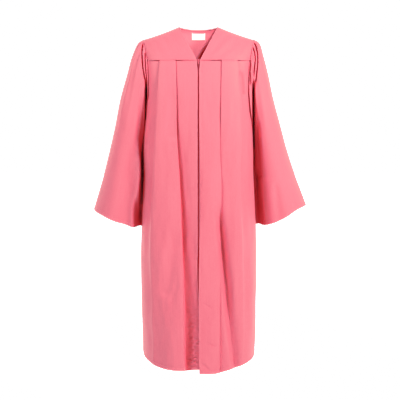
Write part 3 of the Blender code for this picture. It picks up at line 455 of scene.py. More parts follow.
def edge_angle(z):
    """The angle of the panel's outer edge: the armhole, then the side seam below it."""
    armhole = angle_at(curve(z, ARMHOLE["z"], ARMHOLE["half_width"]), z)
    return np.where(z > UNDERARM_Z, armhole, math.pi / 2)


def pleat_edge(place, z, which):
    """One pleat edge, the inner or the outer one, at each height: how far it runs along from
    the folded edge, and its rise. place goes from 0, on the low cloth, to 1, on the high cloth."""
    rows = np.arange(len(PLEAT_FOLD["flat_along"]), dtype=float)
    at = place * rows[-1]
    opened = curve(z, PLEATS["z"], PLEATS[which + "_open"])
    flat = curve(at, rows, PLEAT_FOLD["flat_along"]) * curve(z, PLEATS["z"], PLEATS["under"])
    soft = curve(z, PLEATS["z"], PLEATS[which + "_soft"])
    wide = curve(at, rows, PLEAT_FOLD["open_along"]) * soft
    flat_rise = curve(at, rows, PLEAT_FOLD["flat_rise"])
    open_rise = curve(at, rows, PLEAT_FOLD["open_rise"])
    along = flat + (wide - flat) * opened
    return along, flat_rise + (open_rise - flat_rise) * opened


def front_edge(name, z):
    """How far the cloth's edge lies from the middle, at each height."""
    if name == "back":
        return np.zeros(np.shape(z))
    return np.interp(-z, -FRONT_EDGES["z"], FRONT_EDGES[name])


def strip_end(name, z):
    """How far from the middle the strip beside it ends, at each height."""
    inner = curve(z, PLEAT_EDGES["z"], PLEAT_EDGES[name + "_inner"])
    return inner + pleat_edge(np.zeros(np.shape(z)), z, "inner")[0]


def hang(name, columns, z):
    """How much further out the cloth hangs than its plain pleats, for each column and height:
    a smooth curve across each row of the table, blended softly from row to row."""
    across = np.stack([curve(columns, HANG_COLUMNS, row) for row in HANG[name]])
    at = np.interp(-z, -HANG_Z, np.arange(len(HANG_Z), dtype=float))
    row = np.minimum(np.floor(at).astype(int), len(HANG_Z) - 2)
    share = smooth(at - row, 0.0, 1.0)
    above = np.take_along_axis(across, row[None], axis=0)[0]
    below = np.take_along_axis(across, row[None] + 1, axis=0)[0]
    return above + (below - above) * share


def half_panel(name, side, columns, rows):
    """The middle surface of one half of the body, from the middle to the side. Side -1 is the
    viewer's left. A column is a number: its whole part picks one of the five stretches, 0 to 4,
    and the rest is the place in it. A row is a height before the hem's line is taken in. The
    height above the rounded rectangle adds the pleat's steps, the folds, the pull of the seams
    and a slight unevenness."""
    z = np.repeat(np.asarray(rows, float)[:, None], columns.shape[-1], axis=1)
    columns = np.broadcast_to(columns, z.shape)
    stretch = np.minimum(np.floor(columns), 4)
    place = columns - stretch
    inner = curve(z, PLEAT_EDGES["z"], PLEAT_EDGES[name + "_inner"])
    outer = curve(z, PLEAT_EDGES["z"], PLEAT_EDGES[name + "_outer"])
    high = curve(z, PLEATS["z"], PLEATS["high"])
    inner_low = curve(z, PLEATS["z"], PLEATS["inner_low"])
    outer_low = curve(z, PLEATS["z"], PLEATS["outer_low"])
    none, full = np.zeros(z.shape), np.ones(z.shape)
    middle, behind = front_edge(name, z), none
    if name == "left":
        behind = curve(z, FRONT_EDGES["z"], FRONT_EDGES["left_behind"])

    in_along, in_rise = pleat_edge(place, z, "inner")
    out_along, out_rise = pleat_edge(1 - place, z, "outer")
    low_end = strip_end(name, z)
    high_start = inner + pleat_edge(full, z, "inner")[0]
    high_end = outer - pleat_edge(full, z, "outer")[0]
    side_start = outer - pleat_edge(none, z, "outer")[0]
    which = [stretch == 0, stretch == 1, stretch == 2, stretch == 3]
    x = np.select(
        which,
        [
            middle + (low_end - middle) * place,
            inner + in_along,
            high_start + (high_end - high_start) * place,
            outer - out_along,
        ],
        side_start,
    )
    out = np.select(
        which,
        [
            inner_low * place**STRIP_BEND - behind * (1 - place),
            inner_low + (high - inner_low) * in_rise,
            high,
            outer_low + (high - outer_low) * out_rise,
        ],
        outer_low * (1 - smooth(place, 0.0, SIDE_STRIP_FADES)),
    )
    if name != "back":
        out = out + hang(name, columns, z)
    angle = angle_at(x, z)
    angle = np.where(stretch == 4, angle + (edge_angle(z) - angle) * place, angle)
    base_x, _, _, _ = body_point(angle, z, name != "back")
    face = BACK if name == "back" else FRONT
    folds = fold_depth(face, side * base_x, z)
    still = smooth(edge_angle(z) - angle, 0.0, EDGE_STILL)
    top = rows[0]
    hung = smooth(top - z, 0.0, 0.25)
    uneven = 0.0011 * ripple(side * base_x, z, 11 + face, 0.09, 0.55) * hung
    uneven = uneven + 0.0004 * ripple(side * base_x, z, 21 + face, 0.035, 0.16) * hung
    out = out + (uneven - folds) * still
    if name == "left":
        strip = (stretch == 0) * smooth(1 - place, 0.0, 0.3) * smooth(-z, 0.98, 1.10)
        out = out + CRUMPLE * ripple(z, base_x, 27, 0.020, 0.050, 7) * strip

    from_edge = base_x - middle
    from_hem = z - HEM_Z
    if name != "back":
        sewn = bell(from_edge - ZIP_STITCH[name], 0.0030)
        beside = bell(from_edge, 0.016)
        pucker = ripple(z, from_edge, 31 + side, 0.021, 0.2, 5)
        out = out - 0.0005 * sewn + 0.00045 * beside * pucker
        out = out + 0.0010 * beside * ripple(z, from_edge, 35 + side, 0.11, 0.4, 5) * (z < -0.86)
    out = out - 0.0016 * bell(top - z, 0.0035)
    hem_pucker = ripple(side * base_x, z, 41 + face, 0.030, 0.3, 5)
    out = out - 0.0004 * bell(from_hem - HEM_STITCH, 0.0035)
    out = out + 0.0004 * (1 - smooth(from_hem, 0.008, 0.012))
    out = out + 0.0004 * bell(from_hem, 0.016) * hem_pucker * still

    around = np.clip(angle / (math.pi / 2), 0, 1)
    hem = curve(around, HEM["around"], HEM[name])
    low = np.clip((HEM_STARTS_Z - z) / (HEM_STARTS_Z - HEM_Z), 0, None)
    z = z + (hem - HEM_Z) * low + HEM_LEVELS * out * smooth(low, 0.3, 1.0)
    x, y, out_x, out_y = body_point(angle, z, name != "back")
    y_sign = 1.0 if name == "back" else -1.0
    points = np.stack([x + out * out_x, y_sign * (y + out * out_y + SEAM_GAP / 2), z], axis=-1)
    points[0, :, 2] -= SEAM_GAP
    return points * (side, 1, 1)


test = half_panel("left", -1, np.array([0.0, 2.5, 4.99]), [-0.125, -0.7, -1.3])
print("left front, middle to side at the hem:", test[-1].round(3).tolist())


# %% [markdown]
# ## The yokes' surface
# The yoke is the smooth piece over the shoulders. Every point moves in a straight line, seen
# from the front, from the shoulder seam to the seam across the chest, and it rounds over the
# shoulder on the way. The back yoke also has the neckline in the middle of its upper edge.

# %% The yokes as functions
def shoulder(share):
    """The shoulder line, from the neck (0) to the armhole (1)."""
    x = NECK_HALF_WIDTH + (SHOULDER_HALF_WIDTH - NECK_HALF_WIDTH) * share
    z = -SHOULDER_DROP * ((1 + SHOULDER_CURVE) * share - SHOULDER_CURVE * share**2)
    return x, z


def yoke_fall(down):
    """How far forward or back the yoke has come at each share of its height: half a straight
    slope and half a quarter circle."""
    return (1 - YOKE_ROUNDNESS) * down + YOKE_ROUNDNESS * np.sqrt(1 - (1 - down) ** 2)


def front_yoke(side, across, down):
    """The front yoke: across goes from the neckline to the armhole, down from the shoulder line
    to the seam. Each point moves straight from one to the other, seen from the front."""
    top_x, top_z = shoulder(across)
    middle = FRONT_EDGES["right"][0]
    seam_x = middle + (YOKE_SEAM_HALF_WIDTH - middle) * across
    _, seam_y, _, _ = body_point(angle_at(seam_x, YOKE_SEAM_Z), YOKE_SEAM_Z, True)
    x = top_x + (seam_x - top_x) * down
    y = -seam_y * yoke_fall(down) - SEAM_GAP / 2
    z = top_z + (YOKE_SEAM_Z - top_z) * down
    return np.stack([side * x, y, z], axis=-1)


def back_yoke(across, down):
    """The back yoke: across goes from -1 at one armhole to 1 at the other, and down from the
    neckline and the shoulder lines to the seam."""
    size = np.abs(across)
    in_neck = size < NECK_SHARE
    turn = np.clip(size / NECK_SHARE, 0, 1) * math.pi / 2
    share = np.clip((size - NECK_SHARE) / (1 - NECK_SHARE), 0, 1)
    shoulder_x, shoulder_z = shoulder(share)
    top_x = np.where(in_neck, NECK_HALF_WIDTH * np.sin(turn), shoulder_x)
    top_y = BACK_NECK_DEPTH * np.cos(turn)
    top_z = np.where(in_neck, -BACK_NECK_DROP * np.cos(turn) ** 2, shoulder_z)
    neck_x = YOKE_SEAM_HALF_WIDTH * NECK_SHARE_AT_SEAM
    seam_half = curve(BACK_YOKE_SEAM_Z, ARMHOLE["z"], ARMHOLE["half_width"])
    seam_x = np.where(in_neck, neck_x * size / NECK_SHARE, neck_x + (seam_half - neck_x) * share)
    _, seam_y, _, _ = body_point(angle_at(seam_x, BACK_YOKE_SEAM_Z), BACK_YOKE_SEAM_Z, False)
    x = top_x + (seam_x - top_x) * down
    y = top_y + (seam_y - top_y) * yoke_fall(down) + SEAM_GAP / 2
    z = top_z + (BACK_YOKE_SEAM_Z - top_z) * down
    return np.stack([np.sign(across) * x, y, z], axis=-1)


print("front yoke corner:", front_yoke(1, np.array(1.0), np.array(1.0)).round(3).tolist())


# %% [markdown]
# ## The sleeves' surface
# A sleeve is a tube of ovals. Its first ring is the armhole itself, and the ovals take over
# further down. The flutes of the gathered head are waves across the tube. Real gathers are
# uneven, so the waves here are too: each has its own width, height and length.

# %% The sleeves as functions
def armhole_loop():
    """The right armhole as a closed line: from the shoulder down the front to the underarm, and
    up the back. It gives the line's points and how far along it each one lies."""
    down = np.linspace(0, 1, 25)
    front = front_yoke(1, np.ones(25), down)
    z = np.linspace(YOKE_SEAM_Z, UNDERARM_Z, 40)
    x, y, _, _ = body_point(edge_angle(z + 1e-9), z, True)
    body_front = np.stack([x, -y, z], axis=-1)
    z = np.linspace(UNDERARM_Z, BACK_YOKE_SEAM_Z, 40)
    x, y, _, _ = body_point(edge_angle(z + 1e-9), z, False)
    body_back = np.stack([x, y, z], axis=-1)
    back = back_yoke(np.ones(25), down[::-1])
    line = np.concatenate([front[:-1], body_front[:-1], body_back[1:], back[1:]])
    step = np.linalg.norm(np.diff(line, axis=0), axis=1)
    return line, np.concatenate([[0], np.cumsum(step)])


def along_armhole(share):
    """Points at these shares of the armhole's length, half of it down the front."""
    line, along = armhole_loop()
    underarm = along[np.argmin(line[:, 2])]
    share = np.asarray(share, float) % 1.0
    back_part = underarm + (2 * share - 1) * (along[-1] - underarm)
    at = np.where(share < 0.5, 2 * share * underarm, back_part)
    return np.stack([np.interp(at, along, line[:, k]) for k in range(3)], axis=-1)


def outward(points):
    """The direction straight out of a tube's rings at each point."""
    across = np.roll(points, -1, axis=1) - np.roll(points, 1, axis=1)
    down = np.gradient(points, axis=0)
    out = np.cross(down, across)
    out /= np.linalg.norm(out, axis=-1, keepdims=True)
    away = points - points.mean(axis=1, keepdims=True)
    return out * np.sign((out * away).sum(axis=-1).mean())


def flute_waves(around, down, side):
    """The gathers' relief, 0 to about 1: a row of waves over the sleeve's head whose spacing,
    height and length drift slowly from one wave to the next."""
    lean = 0.016 * np.sin(2 * math.pi * 2.3 * around + 1.1 * side)
    at = around + lean
    waves = (1 - np.cos(2 * math.pi * FLUTES * (at + FLUTED_ROUND) / (2 * FLUTED_ROUND))) / 2
    waves = waves**1.25
    height = 1 + 0.28 * np.sin(2 * math.pi * 5.7 * around + 2.0 * side)
    height = height * (0.50 - 0.28 * np.sin(2 * math.pi * around))
    length = 1 + 0.25 * np.sin(2 * math.pi * 4.1 * around + 0.7 + side)
    near_top = np.minimum(around, 1 - around) / FLUTED_ROUND
    held = 1 - smooth(near_top, FLUTES_FADE_FROM, 1.0)
    return waves * height * held * curve(down / length, FLUTE["down"], FLUTE["height"])


def near_lines(points, lines, steep=2):
    """How strongly each point takes part in some lines, seen from the front: each line's
    strength times a bell shape of the distance from it, with a soft start and end. A higher
    number for steep gives the bell a flat top and steeper sides."""
    strongest = np.zeros(points.shape[:2])
    x, z = points[..., 0], points[..., 2]
    for wide, strength, fade_in, fade_out, line in lines:
        line = np.array(line)
        steps = np.diff(line, axis=0)
        lengths = np.linalg.norm(steps, axis=1)
        nearest, share = np.full(x.shape, 9.0), np.zeros(x.shape)
        for (start_x, start_z), (step_x, step_z), length, before in zip(
            line, steps, lengths, np.cumsum(lengths) - lengths
        ):
            t = ((x - start_x) * step_x + (z - start_z) * step_z) / length**2
            t = np.clip(t, 0, 1)
            away = np.hypot(x - start_x - t * step_x, z - start_z - t * step_z)
            closer = away < nearest
            nearest = np.where(closer, away, nearest)
            share = np.where(closer, (before + t * length) / lengths.sum(), share)
        held = smooth(share, 0.0, fade_in)
        if fade_out > 0:
            held = held * (1 - smooth(share, 1 - fade_out, 1.0))
        shape = np.exp(-((nearest / wide) ** steep))
        strongest = np.maximum(strongest, strength * shape * held)
    return strongest


def sleeve(side, around, down):
    """The middle surface of a sleeve: around goes once round from the top by the front, and down
    from the armhole to the hem. It is an oval at each place down, which the gathered head
    pulls into the armhole, with flutes and folds standing on it."""
    name = "left" if side < 0 else "right"
    outer_x = curve(down, SLEEVE["down"], SLEEVE[name + "_x"])
    outer_z = curve(down, SLEEVE["down"], SLEEVE[name + "_z"])
    inner_x = curve(down, SLEEVE["down"], SLEEVE["inner_x"])
    inner_z = curve(down, SLEEVE["down"], SLEEVE["inner_z"])
    front_y = curve(down, SLEEVE["down"], SLEEVE["front_y"])
    back_y = curve(down, SLEEVE["down"], SLEEVE["back_y"])
    turn = 2 * math.pi * curve(around, SLEEVE_SPREAD["round"], SLEEVE_SPREAD["at_hem"])
    swing = np.sin(turn)
    inner_front = (swing > 0) & (np.cos(turn) < 0)
    corner = np.where(np.cos(turn) > 0, 0.35 * smooth(down, 0.5, 1.0), 0.0)
    square = 0.45 * smooth(down, 0.25, 0.7) if side < 0 else 0.0
    power = 1 + corner - np.where(inner_front, square, 0.0)
    swing = np.sign(swing) * np.abs(swing) ** power
    high, forward = (1 + np.cos(turn)) / 2, (1 + swing) / 2
    x = inner_x + (outer_x - inner_x) * high
    y = back_y + (front_y - back_y) * forward
    corner_rise = HEM_CORNER_RISE[name] * bell(high - 0.80, 0.25) * smooth(down, 0.75, 1.0)
    z = inner_z + (outer_z - inner_z) * high + corner_rise
    oval = np.stack([x, y, z], axis=-1)
    head = along_armhole(curve(around[:1], SLEEVE_SPREAD["round"], SLEEVE_SPREAD["at_head"]))
    low = (1 - np.cos(2 * math.pi * around[:1])) / 2
    head[..., 0] += ARMHOLE_CLEAR_TOP + (ARMHOLE_CLEAR_BOTTOM - ARMHOLE_CLEAR_TOP) * low
    pull = 1 - smooth(down, 0.0, HEAD_FADES_DOWN)
    points = oval + (head - oval[:1]) * pull[..., None]

    folds = fold_depth(LEFT_SLEEVE if side < 0 else RIGHT_SLEEVE, around, down)
    hung = smooth(down, 0.15, 0.5)
    uneven = 0.0014 * ripple(around, down, 51 + side, 0.5, 2.0) * hung
    hem = 0.0004 * (1 - smooth(1 - down, 0.014, 0.021)) - 0.0004 * bell(1 - down - 0.022, 0.004)
    relief = FLUTE_HEIGHT * flute_waves(around, down, side) - folds + uneven + hem
    out = outward(points)
    points = points + relief[..., None] * out
    other = "right" if side < 0 else "left"
    free = smooth(down, 0.0, 0.012)
    tucks = near_lines(points, GATHERS[name]) * smooth(-out[..., 1], 0.0, 0.3)
    tucks = tucks + near_lines(points, GATHERS[other]) * smooth(out[..., 1], 0.0, 0.3)
    points = points - (tucks * free)[..., None] * out * (0, 1, 1)
    innermost = points[:, np.argmin(np.abs(around[0] - 0.5))][:, None, 1]
    fallen = near_lines(points, HOLLOWS[name], 4) * smooth(0.5 - around, 0.0, 0.06) * free
    points[..., 1] += np.maximum(innermost - points[..., 1], 0) * fallen

    clear = SIDE_CLEAR * smooth(-points[..., 2], -SIDE_CLEAR_FROM_Z, -SIDE_CLEAR_FULL_Z)
    half_width = curve(points[..., 2], BODY["z"], BODY["half_width"])
    front = curve(points[..., 2], BODY["z"], BODY["front_depth"])
    back = curve(points[..., 2], BODY["z"], BODY["back_depth"])
    depth = np.where(points[..., 1] < 0, front, back)
    inside = np.clip(1 - np.abs(points[..., 1] / depth) ** BODY_POWER, 0, 1)
    side_x = half_width * inside ** (1 / BODY_POWER)
    tucked = TUCKED * bell(around - 0.57, 0.07) * smooth(down, 0.3, 0.5)
    kept = np.maximum(points[..., 0] - tucked, side_x + ARMHOLE_CLEAR_BOTTOM + clear)
    low_enough = smooth(-points[..., 2], -UNDERARM_Z - SIDE_CLEAR_ABOVE, -UNDERARM_Z)
    points[..., 0] += np.where(down > 0, (kept - points[..., 0]) * low_enough, 0)
    return points * (side, 1, 1)


line, along = armhole_loop()
print("length round the armhole:", round(float(along[-1]), 3))


# %% [markdown]
# ## From a grid of points to cloth
# A single sheet of faces has no thickness, and its edges look like paper. Here the grid is moved
# half the cloth's thickness to each side, and the edges are closed with narrow faces. Blender's
# Solidify does the same, but making it by hand lets the hems be double, as sewn ones are. The UV
# map holds real metres along the cloth, so that the weave has one size everywhere.

# %% Building a cloth piece
CLOTH = 0.0006
HEM_CLOTH = 0.0013


def grid_normals(points, ring):
    """The direction of a grid's surface at each point, from the differences to its neighbours."""
    if ring:
        across = np.roll(points, -1, axis=1) - np.roll(points, 1, axis=1)
    else:
        across = np.gradient(points, axis=1)
    normal = np.cross(np.gradient(points, axis=0), across)
    return normal / np.maximum(np.linalg.norm(normal, axis=-1, keepdims=True), 1e-12)


def metres_along(points, axis):
    """How far each point lies along its row or column, averaged over the other direction so
    that the grid stays straight in the UV map."""
    step = np.linalg.norm(np.diff(points, axis=axis), axis=-1)
    step = step.mean(axis=1 - axis)
    return np.concatenate([[0], np.cumsum(step)])


def new_mesh(name, vertices, faces, uv=None, marks=None):
    """A mesh from arrays. Faces all have the same number of corners, uv has one row for each
    corner of each face, and marks gives named numbers for each vertex."""
    mesh = bpy.data.meshes.new(name)
    mesh.vertices.add(len(vertices))
    mesh.vertices.foreach_set("co", np.asarray(vertices, np.float32).ravel())
    mesh.loops.add(faces.size)
    mesh.loops.foreach_set("vertex_index", faces.ravel().astype(np.int32))
    mesh.polygons.add(len(faces))
    mesh.polygons.foreach_set("loop_start", np.arange(0, faces.size, faces.shape[1]))
    mesh.update(calc_edges=True)
    if uv is not None:
        layer = mesh.uv_layers.new(name="cloth")
        layer.uv.foreach_set("vector", np.asarray(uv, np.float32).ravel())
    for mark, values in (marks or {}).items():
        made = mesh.attributes.new(mark, "FLOAT", "POINT")
        made.data.foreach_set("value", np.asarray(values, np.float32).ravel())
    mesh.validate()
    return mesh


def new_piece(name, mesh, node, body=GOWN):
    """An object for this mesh that rides on the gown and stands for a node of the plain model."""
    mesh.shade_smooth()
    mesh.set_sharp_from_angle(angle=math.radians(48))
    made = bpy.data.objects.new(name, mesh)
    bpy.context.collection.objects.link(made)
    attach(made, body)
    if node:
        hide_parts(node)
    return made


def cloth_piece(name, points, node, out, ring=False, thick=CLOTH, shift=0.0, worn=None):
    """A closed wall on a grid of points. out is a direction, or a point for each grid point,
    that the outer side faces. thick may be one number or one for each point, and it grows
    inwards, so that a double hem shows on the inside."""
    normal = grid_normals(points, ring)
    if np.sign((normal * out).sum(axis=-1).mean()) < 0:
        normal = -normal
    height, width = points.shape[:2]
    thick = np.broadcast_to(thick, (height, width))[..., None]
    outer = points + normal * (shift + CLOTH / 2)
    inner = outer - normal * thick
    count = height * width
    index = np.arange(count).reshape(height, width)
    if ring:
        index = np.concatenate([index, index[:, :1]], axis=1)
    a, b, c, d = index[:-1, :-1], index[:-1, 1:], index[1:, 1:], index[1:, :-1]
    skin = np.stack([a, b, c, d], axis=-1).reshape(-1, 4)
    first = outer.reshape(-1, 3)[skin[0]]
    facing = np.cross(first[2] - first[0], first[3] - first[1])
    turned = (facing * normal.reshape(-1, 3)[skin[0, 0]]).sum() < 0
    rims = [np.stack([index[0, 1:], index[0, :-1]], -1), np.stack([index[-1, :-1], index[-1, 1:]], -1)]
    if not ring:
        rims.append(np.stack([index[:-1, 0], index[1:, 0]], -1))
        rims.append(np.stack([index[1:, -1], index[:-1, -1]], -1))
    rims = np.concatenate(rims)
    rim = np.stack([rims[:, 0], rims[:, 1], rims[:, 1] + count, rims[:, 0] + count], axis=-1)
    faces = np.concatenate([skin, skin[:, ::-1] + count, rim])
    if turned:
        faces = faces[:, ::-1]

    closed = np.concatenate([points, points[:, :1]], axis=1) if ring else points
    u, v = metres_along(closed, 1), metres_along(closed, 0)
    flat = np.stack(np.meshgrid(u, -v), axis=-1)
    wide = flat.shape[1]
    place = np.arange(height * wide).reshape(height, wide)
    e, f, g, h = place[:-1, :-1], place[:-1, 1:], place[1:, 1:], place[1:, :-1]
    flat_skin = np.stack([e, f, g, h], axis=-1).reshape(-1, 4)
    flat_rims = [np.stack([place[0, 1:], place[0, :-1]], -1), np.stack([place[-1, :-1], place[-1, 1:]], -1)]
    if not ring:
        flat_rims.append(np.stack([place[:-1, 0], place[1:, 0]], -1))
        flat_rims.append(np.stack([place[1:, -1], place[:-1, -1]], -1))
    flat_rims = np.concatenate(flat_rims)
    flat_rim = np.stack([flat_rims[:, 0], flat_rims[:, 1], flat_rims[:, 1], flat_rims[:, 0]], axis=-1)
    flat_faces = np.concatenate([flat_skin, flat_skin[:, ::-1], flat_rim])
    if turned:
        flat_faces = flat_faces[:, ::-1]
    uv = flat.reshape(-1, 2)[flat_faces]

    vertices = np.concatenate([outer.reshape(-1, 3), inner.reshape(-1, 3)])
    worn = np.zeros((height, width)) if worn is None else worn
    marks = {"worn": np.concatenate([worn.ravel(), worn.ravel()])}
    made = new_piece(name, new_mesh(name, vertices, faces, uv, marks), node)
    area = np.linalg.norm(np.cross(points[1:, 1:] - points[:-1, :-1], points[1:, :-1] - points[:-1, 1:]), axis=-1)
    print(f"{name}: {2 * len(faces)} triangles, {area.sum() / 2:.4f} m2, {u[-1]:.3f} x {v[-1]:.3f} m")
    return made, outer, normal


# %% [markdown]
# ## The body's cloth
# The grid has more columns where the cloth is folded sharply and more rows at the hem. The column
# where the zip is stitched lies exactly on the stitches.

# %% Fronts and back
def panel_columns(name, rows, strip, fold, top, side):
    """The columns of half a panel, as a grid with one row for each height: the numbers say how
    many columns each stretch gets. In the strip beside the middle, the third column lies on the
    line of stitches."""
    z = np.asarray(rows, float)
    stitch = ZIP_STITCH[name] / (strip_end(name, z) - front_edge(name, z))
    near = np.array([0.0, 0.22, 0.5, 0.8, 1.0, 1.2])
    far = np.linspace(0, 1, strip)[None, 1:-1]
    beside = stitch[:, None] * near
    rest = beside[:, -1:] + (1 - beside[:, -1:]) * far
    fold_places = np.linspace(0, 1 - 1e-9, fold)
    others = np.concatenate(
        [
            1 + fold_places,
            2 + np.linspace(0, 1, top + 2)[1:-1],
            3 + fold_places,
            4 + np.linspace(0, 1, side + 1)[1:] ** 1.1,
        ]
    )
    return np.concatenate([beside, rest, np.broadcast_to(others, (len(z), len(others)))], axis=1)


def panel_rows(top, count):
    """Heights from the seam at the top to the hem, closer together at both ends."""
    start = top - np.array([0.0, 0.0025, 0.005, 0.009])
    end = HEM_Z + np.array([0.024, 0.018, 0.015, HEM_STITCH, 0.009, 0.0055, 0.0025, 0.0])
    return np.concatenate([start, np.linspace(start[-1], end[0], count)[1:-1], end])


def hem_thickness(from_edge, depth):
    """Thickness of cloth that is turned in once at an edge: double up to the stitches."""
    return CLOTH + (HEM_CLOTH - CLOTH) * (1 - smooth(from_edge, depth, depth + 0.0015))


def panel_wear_and_highlight(columns, rows):
    """How worn the cloth is, and where a highlight is painted: wear most at the hem and some at the
    edge beside the zip, and a painted highlight on the upper part of the pleats' pressed edges."""
    z = np.asarray(rows)[:, None]
    # Painted highlight: the pleats' pressed edges are made paler here, in place of their shine.
    pressed_highlight = bell(columns - 1.72, 0.10) + bell(columns - 3.28, 0.10)
    pressed_highlight = pressed_highlight * (1 - smooth(-z, 0.3, 0.8))
    return np.clip(bell(z - HEM_Z, 0.006) + 0.7 * bell(columns, 0.03) + 0.5 * pressed_highlight, 0, 1)


stitched = {}
cloths = {}
for side, name in ((-1, "left"), (1, "right")):
    rows = panel_rows(YOKE_SEAM_Z, 225)
    columns = panel_columns(name, rows, 20, 24, 20, 36)
    points = half_panel(name, side, columns, rows)
    thick = hem_thickness(rows - HEM_Z, HEM_STITCH)[:, None]
    made, outer, normal = cloth_piece(
        f"front_{name}_cloth",
        points,
        f"front_panel_{name}",
        (0, -1, 0),
        thick=thick,
        worn=panel_wear_and_highlight(columns, rows),
    )
    cloths[f"front_{name}"] = made
    hem_row = len(rows) - 5
    stitched[f"front_{name}"] = [
        (outer[2:hem_row, 4], normal[2:hem_row, 4]),
        (outer[hem_row, 1:], normal[hem_row, 1:]),
    ]

rows = panel_rows(BACK_YOKE_SEAM_Z, 200)
columns = panel_columns("back", rows, 12, 19, 15, 30)
left = half_panel("back", -1, columns, rows)[:, ::-1]
right = half_panel("back", 1, columns, rows)
points = np.concatenate([left, right[:, 1:]], axis=1)
both = np.concatenate([columns[:, ::-1], columns[:, 1:]], axis=1)
made, outer, normal = cloth_piece(
    "back_cloth",
    points,
    "back_panel",
    (0, 1, 0),
    thick=hem_thickness(rows - HEM_Z, HEM_STITCH)[:, None],
    worn=panel_wear_and_highlight(np.maximum(both, 0.5), rows),
)
cloths["back"] = made
hem_row = len(rows) - 5
stitched["back"] = [(outer[hem_row], normal[hem_row])]

# %% [markdown]
# ## The yokes' cloth
# A yoke is cut double and lies quite smooth. Only a little drag shows between the neck and the
# shoulder. The seam allowance inside makes its lower edge and the neckline a bit thicker.

# %% Yokes
def seam_places(count, edge):
    """Even places from 0 to 1, with closer ones near both ends. The second is the edge's
    distance, where the stitches lie."""
    near = np.array([0.0, 0.5 * edge, edge, 1.6 * edge])
    return np.concatenate([near, np.linspace(near[-1], 1 - near[-1], count)[1:-1], 1 - near[::-1]])


YOKE_STITCH_ACROSS = 0.022
YOKE_STITCH_DOWN = 0.022
down = seam_places(40, YOKE_STITCH_DOWN)[:, None]
across = seam_places(56, YOKE_STITCH_ACROSS)[None, :]
for side, name in ((-1, "left"), (1, "right")):
    base = front_yoke(side, across + 0 * down, down + 0 * across)
    normal = grid_normals(base, False)
    normal = normal * -np.sign(normal[..., 1].mean())
    drag = ripple(across * 0.16 + 0.05 * down, down * 0.12, 61 + side, 0.05, 0.30, 7)
    still = smooth(across, 0, 0.25) * smooth(1 - down, 0, 0.3) * smooth(down, 0, 0.2)
    lift = 0.0007 * drag * still * smooth(1 - across, 0, 0.2)
    sewn = bell(down - (1 - YOKE_STITCH_DOWN), 0.03) + bell(across - YOKE_STITCH_ACROSS, 0.02)
    lift = lift - 0.0004 * sewn + 0.0008 * smooth(down, 0.90, 0.985)
    points = base + lift[..., None] * normal
    thick = hem_thickness(np.minimum(across * 0.15, (1 - down) * 0.12), 0.008)
    made, outer, normal = cloth_piece(
        f"yoke_{name}_cloth",
        points,
        f"yoke_front_{name}",
        (0, -1, 0.5),
        thick=thick,
        worn=np.clip(bell(across, 0.02) + 0 * down, 0, 1),
    )
    cloths[f"yoke_{name}"] = made
    stitched[f"yoke_{name}"] = [
        (outer[-3, 2:-2], normal[-3, 2:-2]),
        (outer[1:-2, 2], normal[1:-2, 2]),
    ]

half = np.concatenate([np.linspace(0, NECK_SHARE, 32)[:-1], np.linspace(NECK_SHARE, 1, 44)])
across = np.concatenate([-half[:0:-1], half])[None, :]
down = seam_places(40, 0.016)[:, None]
base = back_yoke(across + 0 * down, down + 0 * across)
normal = grid_normals(base, False)
normal = normal * np.sign(normal[..., 1].mean())
drag = ripple(across * 0.19, down * 0.15, 65, 0.07, 0.30, 7)
still = smooth(down, 0, 0.3) * smooth(1 - down, 0, 0.3) * smooth(1 - np.abs(across), 0, 0.15)
lift = 0.0009 * drag * still - 0.0004 * bell(down - (1 - 0.016), 0.02)
points = base + lift[..., None] * normal
made, outer, normal = cloth_piece(
    "yoke_back_cloth",
    points,
    "yoke_back",
    (0, 1, 0.5),
    thick=hem_thickness(np.minimum(down, 1 - down) * 0.15 + 0 * across, 0.007),
    worn=np.clip(bell(down, 0.02) * (np.abs(across) < NECK_SHARE), 0, 1),
)
cloths["yoke_back"] = made
neck = np.abs(across[0]) < NECK_SHARE * 0.99
stitched["yoke_back"] = [
    (outer[-3, 1:-1], normal[-3, 1:-1]),
    (outer[2, neck], normal[2, neck]),
]

# %% [markdown]
# ## The sleeves' cloth
# The tube's grid has most of its columns over the gathered head, where the flutes are narrow.

# %% Sleeves
def sleeve_places():
    """Places round a sleeve: many over the flutes and fewer under the arm."""
    top = np.linspace(-FLUTED_ROUND, FLUTED_ROUND, 16 * FLUTES + 1)
    under = np.linspace(FLUTED_ROUND, 1 - FLUTED_ROUND, 64)[1:-1]
    return np.sort(np.concatenate([top % 1.0, under]))


around = sleeve_places()[None, :]
start = np.array([0.0, 0.006, 0.013, 0.021])
end = np.array([0.965, 0.973, 0.978, 0.983, 0.990, 0.995, 1.0])
head = np.linspace(start[-1], 0.17, 88)
down = np.concatenate([start, head[1:], np.linspace(0.17, end[0], 84)[1:-1], end])[:, None]
for side, name in ((-1, "left"), (1, "right")):
    points = sleeve(side, around + 0 * down, down + 0 * around)
    centre = points.mean(axis=1, keepdims=True)
    made, outer, normal = cloth_piece(
        f"sleeve_{name}_cloth",
        points,
        f"sleeve_{name}",
        points - centre,
        ring=True,
        thick=hem_thickness((1 - down) * 0.66, 0.0145),
        worn=np.clip(bell(1 - down, 0.01) + 0 * around, 0, 1),
    )
    cloths[f"sleeve_{name}"] = made
    row = len(down) - 5
    closed = [0] + list(range(len(around[0])))[::-1]
    stitched[f"sleeve_{name}"] = [(outer[row][closed], normal[row][closed])]

# %% [markdown]
# ## Label and zip tapes
# The label is a bare white ribbon, sewn inside the back of the neck. The tapes carry the zip's
# teeth and lie behind the edges of the fronts. All three are made from the points of the cloth
# that they are sewn to, moved to its inner side.

